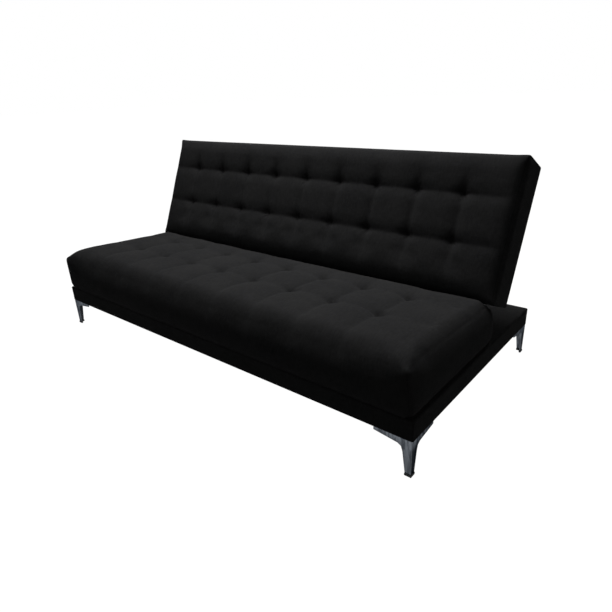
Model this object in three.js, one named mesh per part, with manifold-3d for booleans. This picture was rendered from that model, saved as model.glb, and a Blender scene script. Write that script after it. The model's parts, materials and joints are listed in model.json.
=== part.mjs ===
// Click clack sofa bed: an armless settee whose back ratchets between upright and flat.
// Millimetres, +Z up, +Y to the rear. Left and right are as seen from the front.
// The origin is on the floor under the middle of the footprint.

import * as THREE from 'three';
import { mergeVertices } from 'three/addons/utils/BufferGeometryUtils.js';
import Module from 'manifold-3d';

const wasm = await Module();
wasm.setup();

// Driving dimensions
const baseWidth = 1900;
const baseDepth = 958;
const baseHeight = 69;
const legHeight = 127;
const seatDepth = 617; // from the front bulge to the rear face
const seatThickness = 152; // at the sewn corners, without the crown
const seatProud = 7; // how far the front face bulges past the base
const seatSideInset = 5; // from the base's side to the seat's
const hingeInset = 75; // from the seat's side to its end rail, which carries the hinge
const backSideInset = 12.5; // from the base's side to the back's
const backLength = 525;
const backLeanDeg = 23.2; // from the vertical, in the upright stop
const pivotBelowFace = 52; // hinge axis below the lying surface
const pivotToBackEnd = 24; // hinge axis to the back's lower end
const pivotBehindSeat = 2; // hinge axis behind the seat's rear face
const flatClearance = 1.5; // under the back when it lies flat
const overtravelDeg = 5; // forward of upright, to let the ratchet go
const swingClearance = 4; // between the seat's foam and the back's lower end
const gap = 0.3; // between pieces that touch

const backWidth = baseWidth - 2 * backSideInset;
const baseTop = legHeight + baseHeight;
const seatBottom = baseTop + gap;
const seatEdgeZ = seatBottom + seatThickness;
const seatRear = seatDepth - seatProud;
const pivotY = seatRear + pivotBehindSeat;
const pivotZ = seatEdgeZ - pivotBelowFace;
const backThickness = seatEdgeZ - baseTop - flatClearance;
const reclineDeg = 90 - backLeanDeg;
const degree = Math.PI / 180;

// Finishes
function finish(color, roughness, metalness) {
  return new THREE.MeshStandardMaterial({ color, roughness, metalness });
}
const fabric = () => finish(0x17171a, 0.95, 0);
const lining = () => finish(0x0d0d0f, 1, 0);
const timberFinish = () => finish(0xb98d5a, 0.7, 0);
const steel = () => finish(0x8d9196, 0.4, 1);
const gunmetal = () => finish(0x55595e, 0.25, 1);
const plastic = () => finish(0x101010, 0.6, 0);

// Solids
function solidOf(geometry) {
  const bare = geometry.index ? geometry.toNonIndexed() : geometry.clone();
  bare.deleteAttribute('normal');
  bare.deleteAttribute('uv');
  const merged = mergeVertices(bare);
  return new wasm.Manifold(new wasm.Mesh({
    numProp: 3,
    vertProperties: merged.attributes.position.array,
    triVerts: new Uint32Array(merged.index.array),
  }));
}

function geometryOf(solid) {
  const mesh = solid.getMesh();
  const geometry = new THREE.BufferGeometry();
  geometry.setAttribute('position', new THREE.BufferAttribute(mesh.vertProperties, 3));
  geometry.setIndex(new THREE.BufferAttribute(mesh.triVerts, 1));
  geometry.computeVertexNormals();
  return geometry;
}

function cut(geometry, tools) {
  let solid = solidOf(geometry);
  for (const tool of tools) {
    solid = solid.subtract(solidOf(tool));
  }
  return geometryOf(solid);
}

function join(geometries) {
  let solid = solidOf(geometries[0]);
  for (const geometry of geometries.slice(1)) {
    solid = solid.add(solidOf(geometry));
  }
  return geometryOf(solid);
}

function named(name, geometry, material) {
  const mesh = new THREE.Mesh(geometry, material);
  mesh.name = name;
  return mesh;
}

function block(low, high) {
  const geometry = new THREE.BoxGeometry(high[0] - low[0], high[1] - low[1], high[2] - low[2]);
  geometry.translate((low[0] + high[0]) / 2, (low[1] + high[1]) / 2, (low[2] + high[2]) / 2);
  return geometry;
}

// A block grown by a clearance on every side, to cut a seat for it.
function grown(low, high, clearance) {
  return block(low.map((v) => v - clearance), high.map((v) => v + clearance));
}

// A flat outline drawn square to an axis and extruded between two places on that axis.
// Across x it is drawn in (y, z), across y in (z, x) and across z in (x, y). Every arc gets
// the same even number of facets.
const cornerFacets = 4;
const halfTurnFacets = 8;
const fullTurnFacets = 24;
function extrude(shape, axis, from, to, facets = cornerFacets) {
  const geometry = new THREE.ExtrudeGeometry(shape, {
    depth: to - from,
    bevelEnabled: false,
    curveSegments: facets / 2,
  });
  geometry.translate(0, 0, from);
  const x = new THREE.Vector3(1, 0, 0);
  const y = new THREE.Vector3(0, 1, 0);
  const z = new THREE.Vector3(0, 0, 1);
  const turned = { x: [y, z, x], y: [z, x, y], z: [x, y, z] }[axis];
  return geometry.applyMatrix4(new THREE.Matrix4().makeBasis(...turned));
}

// Sawn timber with its long arrises eased.
const arris = 3;
function timber(name, low, high, holes = []) {
  const size = high.map((v, i) => v - low[i]);
  const along = size.indexOf(Math.max(...size));
  const u = (along + 1) % 3;
  const v = (along + 2) % 3;
  const shape = new THREE.Shape();
  shape.moveTo(low[u] + arris, low[v]);
  shape.lineTo(high[u] - arris, low[v]);
  shape.lineTo(high[u], low[v] + arris);
  shape.lineTo(high[u], high[v] - arris);
  shape.lineTo(high[u] - arris, high[v]);
  shape.lineTo(low[u] + arris, high[v]);
  shape.lineTo(low[u], high[v] - arris);
  shape.lineTo(low[u], low[v] + arris);
  const length = extrude(shape, 'xyz'[along], low[along], high[along]);
  return named(name, holes.length > 0 ? cut(length, holes) : length, timberFinish());
}

// A disc, and a strap with round ends, both square to x.
function disc(y, z, radius, from, to) {
  const shape = new THREE.Shape();
  shape.absarc(y, z, radius, 0, 2 * Math.PI);
  return extrude(shape, 'x', from, to, fullTurnFacets);
}

function strap(start, end, radius, from, to) {
  const angle = Math.atan2(end[1] - start[1], end[0] - start[0]);
  const shape = new THREE.Shape();
  shape.absarc(end[0], end[1], radius, angle - Math.PI / 2, angle + Math.PI / 2);
  shape.absarc(start[0], start[1], radius, angle + Math.PI / 2, angle + 1.5 * Math.PI);
  shape.closePath();
  return extrude(shape, 'x', from, to, halfTurnFacets);
}

function roundedOutline(x0, y0, x1, y1, radius) {
  const shape = new THREE.Shape();
  shape.absarc(x1 - radius, y1 - radius, radius, 0, Math.PI / 2);
  shape.absarc(x0 + radius, y1 - radius, radius, Math.PI / 2, Math.PI);
  shape.absarc(x0 + radius, y0 + radius, radius, Math.PI, 1.5 * Math.PI);
  shape.absarc(x1 - radius, y0 + radius, radius, 1.5 * Math.PI, 2 * Math.PI);
  shape.closePath();
  return shape;
}

// Base: a timber box on four legs, upholstered all round, whose rear top carries the flat back.
const cover = { thickness: 3, cornerRadius: 8, topBevel: 4 };
const baseTimber = { railWidth: 35, crossWidth: 30, panelThickness: 12, crossCount: 3 };
const dustCoverThickness = 1.2;

function baseCover() {
  const low = new THREE.ExtrudeGeometry(
    roundedOutline(
      -baseWidth / 2 + cover.topBevel, cover.topBevel,
      baseWidth / 2 - cover.topBevel, baseDepth - cover.topBevel,
      cover.cornerRadius - cover.topBevel / 2,
    ),
    {
      depth: baseHeight - gap - cover.topBevel,
      bevelThickness: cover.topBevel,
      bevelSize: cover.topBevel,
      bevelSegments: 2,
      curveSegments: cornerFacets / 2,
    },
  );
  low.translate(0, 0, legHeight + gap);
  const floorCut = block(
    [-baseWidth, -baseDepth, 0],
    [baseWidth, 2 * baseDepth, legHeight + gap],
  );
  const hollow = block(
    [-baseWidth / 2 + cover.thickness, cover.thickness, 0],
    [baseWidth / 2 - cover.thickness, baseDepth - cover.thickness, baseTop - cover.thickness],
  );
  return cut(low, [floorCut, hollow]);
}

function makeBase() {
  const group = new THREE.Group();
  const inset = cover.thickness + gap;
  const side = baseWidth / 2 - inset;
  const front = inset;
  const rear = baseDepth - inset;
  const panelTop = baseTop - cover.thickness - gap;
  const panelLow = panelTop - baseTimber.panelThickness;
  const railTop = panelLow - gap;
  const dustLow = legHeight + gap;
  const railLow = dustLow + dustCoverThickness + gap;
  const rail = baseTimber.railWidth;
  group.add(named('base_cover', baseCover(), fabric()));
  group.add(named(
    'base_top_panel',
    block([-side, front, panelLow], [side, rear, panelTop]),
    timberFinish(),
  ));
  group.add(named(
    'base_dust_cover',
    block([-side, front, dustLow], [side, rear, dustLow + dustCoverThickness]),
    lining(),
  ));
  group.add(timber('base_front_rail', [-side, front, railLow], [side, front + rail, railTop]));
  group.add(timber('base_rear_rail', [-side, rear - rail, railLow], [side, rear, railTop]));
  const between = [front + rail + gap, rear - rail - gap];
  for (const [name, sign] of [['left', -1], ['right', 1]]) {
    const x = [sign * side, sign * (side - rail)].sort((a, b) => a - b);
    group.add(timber(
      `base_${name}_rail`,
      [x[0], between[0], railLow],
      [x[1], between[1], railTop],
    ));
  }
  for (let i = 1; i <= baseTimber.crossCount; i += 1) {
    const x = -side + (2 * side * i) / (baseTimber.crossCount + 1);
    group.add(timber(
      `base_cross_member_${i}`,
      [x - baseTimber.crossWidth / 2, between[0], railLow],
      [x + baseTimber.crossWidth / 2, between[1], railTop],
    ));
  }
  return group;
}

// Legs: two tapered steel plates folded square at the corner, with a three-hole top plate.
const leg = {
  inset: 2,
  flangeLength: 130,
  flangeEndHeight: 12,
  flangeRootHeight: 25,
  rootLength: 44,
  columnWidth: 31,
  columnStart: 46,
  footWidth: 20,
  sheet: 4,
  topPlate: 3,
  topPlateSetback: 10,
  screwHoleRadius: 2.6,
  screwEdge: 15,
  cornerScrew: 40,
};
const glide = { wall: 1.5, floor: 3, height: 8 };
const legDrop = legHeight - glide.floor - gap;

// One plate's outline, out along the flange and down the column.
function legPlateShape(place) {
  const shape = new THREE.Shape();
  shape.moveTo(...place(0, 0));
  shape.lineTo(...place(0, -legDrop));
  shape.lineTo(...place(leg.footWidth, -legDrop));
  shape.lineTo(...place(leg.columnWidth, -leg.columnStart));
  shape.quadraticCurveTo(
    ...place(leg.columnWidth + leg.sheet / 2, -leg.flangeRootHeight),
    ...place(leg.rootLength + leg.sheet, -leg.flangeRootHeight + leg.sheet / 2),
  );
  shape.lineTo(...place(leg.flangeLength, -leg.flangeEndHeight));
  shape.lineTo(...place(leg.flangeLength, 0));
  return shape;
}

// Drawn with its corner at the origin and its flanges along +x and +y, from z = 0 down.
function legGeometry() {
  const along = extrude(legPlateShape((out, up) => [out, up]), 'x', 0, leg.sheet);
  const across = extrude(legPlateShape((out, up) => [up, out]), 'y', 0, leg.sheet);
  const reach = leg.flangeLength - leg.topPlateSetback;
  const plate = new THREE.Shape();
  plate.moveTo(leg.sheet / 2, leg.sheet / 2);
  plate.lineTo(reach, leg.sheet / 2);
  plate.lineTo(reach, leg.screwEdge);
  plate.lineTo(leg.screwEdge, reach);
  plate.lineTo(leg.sheet / 2, reach);
  const holePlaces = [
    [reach - leg.screwEdge, leg.screwEdge],
    [leg.screwEdge, reach - leg.screwEdge],
    [leg.cornerScrew, leg.cornerScrew],
  ];
  for (const [x, y] of holePlaces) {
    const hole = new THREE.Path();
    hole.absarc(x, y, leg.screwHoleRadius, 0, 2 * Math.PI, true);
    plate.holes.push(hole);
  }
  return join([across, along, extrude(plate, 'z', -leg.topPlate, 0, halfTurnFacets)]);
}

function angleOutline(x0, reach, width) {
  const shape = new THREE.Shape();
  shape.moveTo(x0, x0);
  shape.lineTo(reach, x0);
  shape.lineTo(reach, width);
  shape.lineTo(width, width);
  shape.lineTo(width, reach);
  shape.lineTo(x0, reach);
  return shape;
}

// A moulded cap on the foot of the leg, which it wraps on both sides of the sheet.
function glideGeometry() {
  const body = extrude(
    angleOutline(-glide.wall, leg.footWidth + glide.wall, leg.sheet + glide.wall),
    'z', -legHeight, -legHeight + glide.height,
  );
  const pocket = extrude(
    angleOutline(-gap, leg.footWidth + glide.wall - gap, leg.sheet + gap),
    'z', -legHeight + glide.floor, 0,
  );
  return cut(body, [pocket]);
}

function makeLegs() {
  const group = new THREE.Group();
  const corners = [
    ['front_left', -1, 1, leg.inset],
    ['front_right', 1, 1, leg.inset],
    ['rear_left', -1, -1, baseDepth - leg.inset],
    ['rear_right', 1, -1, baseDepth - leg.inset],
  ];
  for (const [name, signX, signY, y] of corners) {
    const corner = new THREE.Group();
    corner.position.set(signX * (baseWidth / 2 - leg.inset), y, legHeight);
    corner.scale.set(-signX, signY, 1);
    corner.add(named(`leg_${name}`, legGeometry(), gunmetal()));
    corner.add(named(`leg_glide_${name}`, glideGeometry(), plastic()));
    group.add(corner);
  }
  return group;
}

// Upholstery: a crowned, blind tufted face that rolls over into its sides.
// Places on the face are in (x, y), and the face looks along +z.
const nearShares = [-0.13, 0, 0.13];

// Tuft columns, evenly spread between margins from the two ends.
function tuftPitch(tufts, width) {
  return (width - 2 * tufts.endMargin) / (tufts.columns - 1);
}

function tuftPlaces(tufts, width) {
  const pitch = tuftPitch(tufts, width);
  const middle = (tufts.columns - 1) / 2;
  return Array.from({ length: tufts.columns }, (unused, i) => (i - middle) * pitch);
}

// Grid lines: each tuft has one through it and one close by on either side, with one between tufts
// and one where the first corner's own shape is fading.
const leastSpacingShare = 0.06; // of the pitch
function gridLines(low, high, tufts, pitch, cornerReach) {
  const least = leastSpacingShare * pitch;
  const lines = [];
  if (tufts[0] - low > pitch / 2) {
    lines.push(low + cornerReach / 2);
  }
  tufts.forEach((tuft, i) => {
    nearShares.forEach((share) => lines.push(tuft + share * pitch));
    if (i > 0) {
      lines.push((tuft + tufts[i - 1]) / 2);
    }
  });
  lines.push((low + tufts[0]) / 2);
  lines.push((high + tufts[tufts.length - 1]) / 2);
  lines.sort((a, b) => a - b);
  const kept = [low];
  for (const line of lines) {
    if (line - kept[kept.length - 1] > least && high - line > least) {
      kept.push(line);
    }
  }
  return [...kept, high];
}

// The height of a tufted face over its edge: a crown, less a dimple at each tuft and creases
// that run along the rows and between the rows at each column.
function faceHeight(form, x, y) {
  const fromEdge = (v, low, high) => {
    const near = Math.min(v - low, high - v) / form.crownReach;
    return near >= 1 ? 1 : 1 - (1 - near) ** 2;
  };
  const rise = form.crown
    * fromEdge(x, form.faceX[0], form.faceX[1])
    * fromEdge(y, form.faceY[0], form.faceY[1]);
  const rowFade = Math.min(...form.rows.map((row) => Math.abs(y - row)));
  const columnFade = Math.min(...form.columns.map((column) => Math.abs(x - column)));
  const spot = Math.exp(-(rowFade ** 2 + columnFade ** 2) / form.dimpleRadius ** 2);
  const rowCrease = Math.exp(-((rowFade / form.creaseRadius) ** 2));
  const betweenRows = y > form.rows[0] && y < form.rows[form.rows.length - 1];
  const fade = betweenRows ? 1 : Math.exp(-((rowFade / form.creaseFade) ** 2));
  const columnCrease = Math.exp(-((columnFade / form.creaseRadius) ** 2)) * fade;
  const dip = form.dimple * spot
    + form.rowCrease * rowCrease * (1 - spot)
    + form.columnCrease * columnCrease * (1 - spot);
  return form.edgeZ + rise - dip * fromEdge(x, form.faceX[0], form.faceX[1]);
}

// Each ring of the side says how far it stands out from the face's edge at the ends (x), the
// front and the rear (y), and how high it is, along the edge and at the corner.
function cushionGeometry(form) {
  const xs = gridLines(form.faceX[0], form.faceX[1], form.columns, form.pitch, form.cornerReach);
  const ys = gridLines(form.faceY[0], form.faceY[1], form.rows, form.pitch, form.cornerReach);
  const points = [];
  const faces = [];
  const grid = xs.map((x) => ys.map((y) => points.push(x, y, faceHeight(form, x, y)) / 3 - 1));
  const quad = (a, b, c, d) => faces.push(a, b, c, a, c, d);
  for (let i = 1; i < xs.length; i += 1) {
    for (let j = 1; j < ys.length; j += 1) {
      quad(grid[i - 1][j - 1], grid[i][j - 1], grid[i][j], grid[i - 1][j]);
    }
  }
  const rim = [];
  const lastX = xs.length - 1;
  const lastY = ys.length - 1;
  for (let i = 0; i < lastX; i += 1) rim.push([i, 0]);
  for (let j = 0; j < lastY; j += 1) rim.push([lastX, j]);
  for (let i = lastX; i > 0; i -= 1) rim.push([i, lastY]);
  for (let j = lastY; j > 0; j -= 1) rim.push([0, j]);
  let above = rim.map(([i, j]) => grid[i][j]);
  for (const { edge, corner } of form.rings) {
    const below = rim.map(([i, j]) => {
      const outX = (i === lastX) - (i === 0);
      const outY = (j === lastY) - (j === 0);
      const alongX = outY === 0 ? 0 : Math.min(xs[i] - xs[0], xs[lastX] - xs[i]);
      const alongY = outX === 0 ? 0 : Math.min(ys[j] - ys[0], ys[lastY] - ys[j]);
      const nearCorner = Math.exp(-(((alongX + alongY) / form.cornerReach) ** 2));
      const mixed = (key) => edge[key] + (corner[key] - edge[key]) * nearCorner;
      return points.push(
        xs[i] + outX * mixed('end'),
        ys[j] + outY * mixed(outY > 0 ? 'rear' : 'front'),
        mixed('z'),
      ) / 3 - 1;
    });
    above.forEach((a, k) => {
      const next = (k + 1) % above.length;
      quad(a, below[k], below[next], above[next]);
    });
    above = below;
  }
  const underside = form.rings[form.rings.length - 1].edge.z;
  const middle = points.push(0, (ys[0] + ys[lastY]) / 2, underside) / 3 - 1;
  above.forEach((a, k) => faces.push(a, middle, above[(k + 1) % above.length]));
  const geometry = new THREE.BufferGeometry();
  geometry.setAttribute('position', new THREE.Float32BufferAttribute(points, 3));
  geometry.setIndex(faces);
  return cut(geometry, [block(
    [-baseWidth, -baseDepth, underside - baseHeight],
    [baseWidth, baseDepth, form.bottomZ],
  )]);
}

// A side profile as shares of the full reach at the ends and across the front and rear, and of the
// thickness: first along the edge, then at the corner.
function sideRings(profileShares, reach, bottomZ, topZ) {
  const placed = ([endShare, acrossShare, heightShare]) => ({
    end: reach.end * endShare,
    front: reach.front * acrossShare,
    rear: reach.rear * acrossShare,
    z: bottomZ + (topZ - bottomZ) * heightShare,
  });
  return profileShares.map((shares) => ({
    edge: placed(shares.slice(0, 3)),
    corner: placed(shares.slice(3)),
  }));
}

// Seat: 10 by 2 tufts, a soft roll to the front, peaked corners and sides drawn in at the foot.
const seatTufts = { columns: 10, endMargin: 70, frontRow: 255, rearRow: 450 };
const seatWidth = baseWidth - 2 * seatSideInset;
const seatRoll = { front: 42, rear: 46, end: 34 };
const seatProfileShares = [
  [0.5, 0.5, 0.955, 0.42, 0.84, 0.99],
  [0.86, 0.88, 0.81, 0.66, 0.97, 0.82],
  [1, 1, 0.5, 0.9, 1, 0.5],
  [1, 0.92, 0.1, 1, 0.94, 0.1],
  [0.76, 0.76, -0.05, 0.8, 0.8, -0.05],
];
const seatForm = {
  columns: tuftPlaces(seatTufts, seatWidth),
  rows: [seatTufts.frontRow, seatTufts.rearRow],
  pitch: tuftPitch(seatTufts, seatWidth),
  faceX: [-1, 1].map((s) => s * (seatWidth / 2 - seatRoll.end)),
  faceY: [-seatProud + seatRoll.front, seatRear - seatRoll.rear],
  edgeZ: seatEdgeZ,
  bottomZ: seatBottom,
  crown: 20,
  crownReach: 130,
  dimple: 24,
  dimpleRadius: 34,
  rowCrease: 4,
  columnCrease: 6,
  creaseRadius: 22,
  creaseFade: 110,
  cornerReach: 60,
};
seatForm.rings = sideRings(seatProfileShares, seatRoll, seatBottom, seatEdgeZ);

// Back, drawn lying flat with the hinge axis at y = 0, z = 0: 9 by 2 tufts and square edges.
// The rows are measured from the back's lower end.
const backTufts = { columns: 9, endMargin: 198, lowRow: 195, topRow: 371 };
const backRoll = { front: 16, rear: 16, end: 16 };
const backProfileShares = [
  [0.62, 0.62, 0.975, 0.6, 0.6, 0.985],
  [1, 1, 0.88, 0.92, 0.92, 0.88],
  [1, 1, 0.1, 0.92, 0.92, 0.1],
  [0.8, 0.8, -0.05, 0.72, 0.72, -0.05],
];
const backLow = pivotBelowFace - backThickness;
const backForm = {
  columns: tuftPlaces(backTufts, backWidth),
  rows: [pivotToBackEnd + backTufts.lowRow, pivotToBackEnd + backTufts.topRow],
  pitch: tuftPitch(backTufts, backWidth),
  faceX: [-1, 1].map((s) => s * (backWidth / 2 - backRoll.end)),
  faceY: [pivotToBackEnd + backRoll.front, pivotToBackEnd + backLength - backRoll.rear],
  edgeZ: pivotBelowFace,
  bottomZ: backLow,
  crown: 20,
  crownReach: 110,
  dimple: 24,
  dimpleRadius: 34,
  rowCrease: 9,
  columnCrease: 8,
  creaseRadius: 22,
  creaseFade: 70,
  cornerReach: 30,
};
backForm.rings = sideRings(backProfileShares, backRoll, backLow, pivotBelowFace);

// Frames inside the upholstery: ladders of timber let into the underside of the foam.
const seatFrame = { width: 30, height: 65, frontSetback: 30, rearSetback: 15, crossCount: 2 };
const backFrame = { width: 30, height: 60, endSetback: 20, topSetback: 20, crossCount: 2 };
const rearCover = { thickness: 3, border: 10, cornerRadius: 12 };

// Hinge: the seat plate carries a toothed quadrant and the arm carries a hooked pawl.
// Places are in (y, z) from the hinge axis, with the back lying flat.
const hinge = {
  railFace: baseWidth / 2 - seatSideInset - hingeInset, // outer face of the seat's end rail
  plate: 4,
  quadrantRadius: 22,
  bossRadius: 20,
  strapRadius: 15,
  boltRadius: 6,
  boltHeadRadius: 10,
  boltHeadHeight: 5,
  boltTail: 1.5,
  nutRadius: 10,
  nutHeight: 6.5,
  runningClearance: 0.1,
  toothDepth: 4,
  toothWidth: 5,
  toothLean: 4,
};
const seatPlateBend = [-60, -67];
const seatPlateEnd = [-125, -67];
const armBend = [75, -65];
const armEnd = [140, -65];
const stopAnglesDeg = [reclineDeg, reclineDeg / 2];
const pawl = {
  pin: [26, -30],
  pinRadius: 4,
  bodyRadius: 8,
  knee: [31.5, -1],
  kneeRadius: 5,
  tipClearance: 0.4,
  tipWidth: 3,
  rootWidth: 8,
  pinHeadHeight: 2.5,
};
const spring = { wire: 1.6, lead: 2, coilRadius: 6.2, turns: 3, legLength: 11 };
const springSteps = 8; // in one turn
const springSides = 5;
const screw = { headRadius: 7, headHeight: 4, shankRadius: 3.5, length: 22, holeClearance: 0.3 };

// Layers across the hinge, from the seat rail's face outwards.
const plateLayer = [hinge.railFace + gap, hinge.railFace + gap + hinge.plate];
const armLayer = [plateLayer[1] + gap, plateLayer[1] + gap + hinge.plate];
const headLayer = [armLayer[1] + gap, armLayer[1] + gap + hinge.boltHeadHeight];
const boltEnd = plateLayer[0] - gap - hinge.nutHeight - hinge.boltTail;
const pinEnd = plateLayer[0] - gap - spring.turns * spring.lead - 2 * spring.wire;

function bore(place, radius, layer) {
  return disc(place[0], place[1], radius, layer[0] - gap, layer[1] + gap);
}

// The notch that stops the pawl: steep towards the flat pose, sloped on the other side.
function notch(angleDeg) {
  const inner = hinge.quadrantRadius - hinge.toothDepth;
  const outer = hinge.quadrantRadius + hinge.toothDepth;
  const half = hinge.toothWidth / 2;
  const shape = new THREE.Shape();
  shape.moveTo(inner, -half);
  shape.lineTo(outer, -half);
  shape.lineTo(outer, half + hinge.toothLean);
  shape.lineTo(inner, half);
  const tool = extrude(shape, 'x', plateLayer[0] - gap, plateLayer[1] + gap);
  return tool.rotateX(angleDeg * degree);
}

function seatPlateParts(extra, layer) {
  return [
    disc(0, 0, hinge.quadrantRadius + extra, ...layer),
    strap([0, 0], seatPlateBend, hinge.strapRadius + extra, ...layer),
    strap(seatPlateBend, seatPlateEnd, hinge.strapRadius + extra, ...layer),
  ];
}

function armParts(extra, layer) {
  return [
    disc(0, 0, hinge.bossRadius + extra, ...layer),
    strap([0, 0], armBend, hinge.strapRadius + extra, ...layer),
    strap(armBend, armEnd, hinge.strapRadius + extra, ...layer),
  ];
}

function seatPlateGeometry() {
  return cut(join(seatPlateParts(0, plateLayer)), [
    bore([0, 0], hinge.boltRadius + hinge.runningClearance, plateLayer),
    bore(seatPlateBend, screw.shankRadius + screw.holeClearance, plateLayer),
    bore(seatPlateEnd, screw.shankRadius + screw.holeClearance, plateLayer),
    ...stopAnglesDeg.map(notch),
  ]);
}

function armGeometry() {
  return cut(join(armParts(0, armLayer)), [
    bore([0, 0], hinge.boltRadius + hinge.runningClearance, armLayer),
    bore(armBend, screw.shankRadius + screw.holeClearance, armLayer),
    bore(armEnd, screw.shankRadius + screw.holeClearance, armLayer),
    bore(pawl.pin, pawl.pinRadius + hinge.runningClearance, armLayer),
  ]);
}

// A round-headed pin turned about an axis along x. Its head is at the outer end.
function turnedPin(place, radius, headRadius, headHeight, from, headFrom, facets) {
  const profile = [
    new THREE.Vector2(0, from),
    new THREE.Vector2(radius, from),
    new THREE.Vector2(radius, headFrom),
    new THREE.Vector2(headRadius, headFrom),
    new THREE.Vector2(headRadius, headFrom + headHeight / 2),
    new THREE.Vector2(headRadius - headHeight / 2, headFrom + headHeight),
    new THREE.Vector2(0, headFrom + headHeight),
  ];
  const geometry = new THREE.LatheGeometry(profile, facets);
  geometry.rotateZ(-Math.PI / 2); // the axis goes from y to x
  geometry.translate(0, place[0], place[1]);
  return geometry;
}

function screwGeometry(place, headFrom) {
  const headHeight = screw.headHeight;
  return turnedPin(
    place, screw.shankRadius, screw.headRadius, headHeight,
    hinge.railFace - screw.length, headFrom, fullTurnFacets / 2,
  );
}

function nutGeometry() {
  const shape = new THREE.Shape();
  for (let i = 0; i < 6; i += 1) {
    const angle = (i * Math.PI) / 3;
    const y = hinge.nutRadius * Math.cos(angle);
    const z = hinge.nutRadius * Math.sin(angle);
    if (i === 0) shape.moveTo(y, z);
    else shape.lineTo(y, z);
  }
  const hole = new THREE.Path();
  hole.absarc(0, 0, hinge.boltRadius + gap, 0, 2 * Math.PI, true);
  shape.holes.push(hole);
  const outer = plateLayer[0] - gap;
  return extrude(shape, 'x', outer - hinge.nutHeight, outer, fullTurnFacets);
}

function pawlGeometry() {
  const layer = [plateLayer[0], plateLayer[1]];
  const tip = hinge.quadrantRadius + pawl.tipClearance;
  const tooth = new THREE.Shape();
  tooth.moveTo(tip, -pawl.tipWidth / 2);
  tooth.lineTo(pawl.knee[0], pawl.knee[1] - pawl.rootWidth / 2);
  tooth.lineTo(pawl.knee[0], pawl.knee[1] + pawl.rootWidth / 2);
  tooth.lineTo(tip, pawl.tipWidth / 2);
  const body = join([
    disc(...pawl.pin, pawl.bodyRadius, ...layer),
    strap(pawl.pin, pawl.knee, pawl.kneeRadius, ...layer),
    extrude(tooth, 'x', ...layer),
  ]);
  return cut(body, [bore(pawl.pin, pawl.pinRadius + hinge.runningClearance, layer)]);
}

// A torsion spring round the pawl's pin, with its two legs pointing opposite ways.
function springGeometry() {
  const outer = plateLayer[0] - gap - spring.wire / 2;
  const points = [];
  for (let i = 0; i <= spring.turns * springSteps; i += 1) {
    const turned = i / springSteps;
    const angle = Math.PI / 2 + turned * 2 * Math.PI;
    points.push(new THREE.Vector3(
      outer - turned * spring.lead,
      pawl.pin[0] + spring.coilRadius * Math.cos(angle),
      pawl.pin[1] + spring.coilRadius * Math.sin(angle),
    ));
  }
  const first = points[0].clone();
  first.y += spring.legLength;
  const last = points[points.length - 1].clone();
  last.y -= spring.legLength;
  points.unshift(first);
  points.push(last);
  const section = new THREE.Shape();
  for (let i = 0; i < springSides; i += 1) {
    const angle = (i * 2 * Math.PI) / springSides;
    const a = (spring.wire / 2) * Math.cos(angle);
    const b = (spring.wire / 2) * Math.sin(angle);
    if (i === 0) section.moveTo(a, b);
    else section.lineTo(a, b);
  }
  return new THREE.ExtrudeGeometry(section, {
    steps: points.length + springSides,
    extrudePath: new THREE.CatmullRomCurve3(points),
    bevelEnabled: false,
  });
}

// The two sides of the hinge. Each is drawn on the right and mirrored for the left.
function makeSeatHinges() {
  const group = new THREE.Group();
  for (const [name, sign] of [['left', -1], ['right', 1]]) {
    const side = new THREE.Group();
    side.scale.x = sign;
    side.position.set(0, pivotY, pivotZ);
    side.add(named(`hinge_${name}_seat_plate`, seatPlateGeometry(), steel()));
    side.add(named(
      `hinge_${name}_pivot_bolt`,
      turnedPin(
        [0, 0], hinge.boltRadius, hinge.boltHeadRadius, hinge.boltHeadHeight,
        boltEnd, headLayer[0], fullTurnFacets,
      ),
      steel(),
    ));
    side.add(named(`hinge_${name}_pivot_nut`, nutGeometry(), steel()));
    [seatPlateBend, seatPlateEnd].forEach((place, i) => {
      side.add(named(
        `hinge_${name}_seat_screw_${i + 1}`,
        screwGeometry(place, plateLayer[1] + gap),
        steel(),
      ));
    });
    group.add(side);
  }
  return group;
}

function makeBackHinges() {
  const group = new THREE.Group();
  for (const [name, sign] of [['left', -1], ['right', 1]]) {
    const side = new THREE.Group();
    side.scale.x = sign;
    side.add(named(`hinge_${name}_back_arm`, armGeometry(), steel()));
    side.add(named(`hinge_${name}_pawl`, pawlGeometry(), steel()));
    side.add(named(
      `hinge_${name}_pawl_pin`,
      turnedPin(
        pawl.pin, pawl.pinRadius, pawl.bodyRadius, pawl.pinHeadHeight,
        pinEnd, headLayer[0], fullTurnFacets,
      ),
      steel(),
    ));
    side.add(named(`hinge_${name}_pawl_spring`, springGeometry(), steel()));
    [armBend, armEnd].forEach((place, i) => {
      side.add(named(
        `hinge_${name}_arm_screw_${i + 1}`,
        screwGeometry(place, armLayer[1] + gap),
        steel(),
      ));
    });
    group.add(side);
  }
  return group;
}

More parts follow.
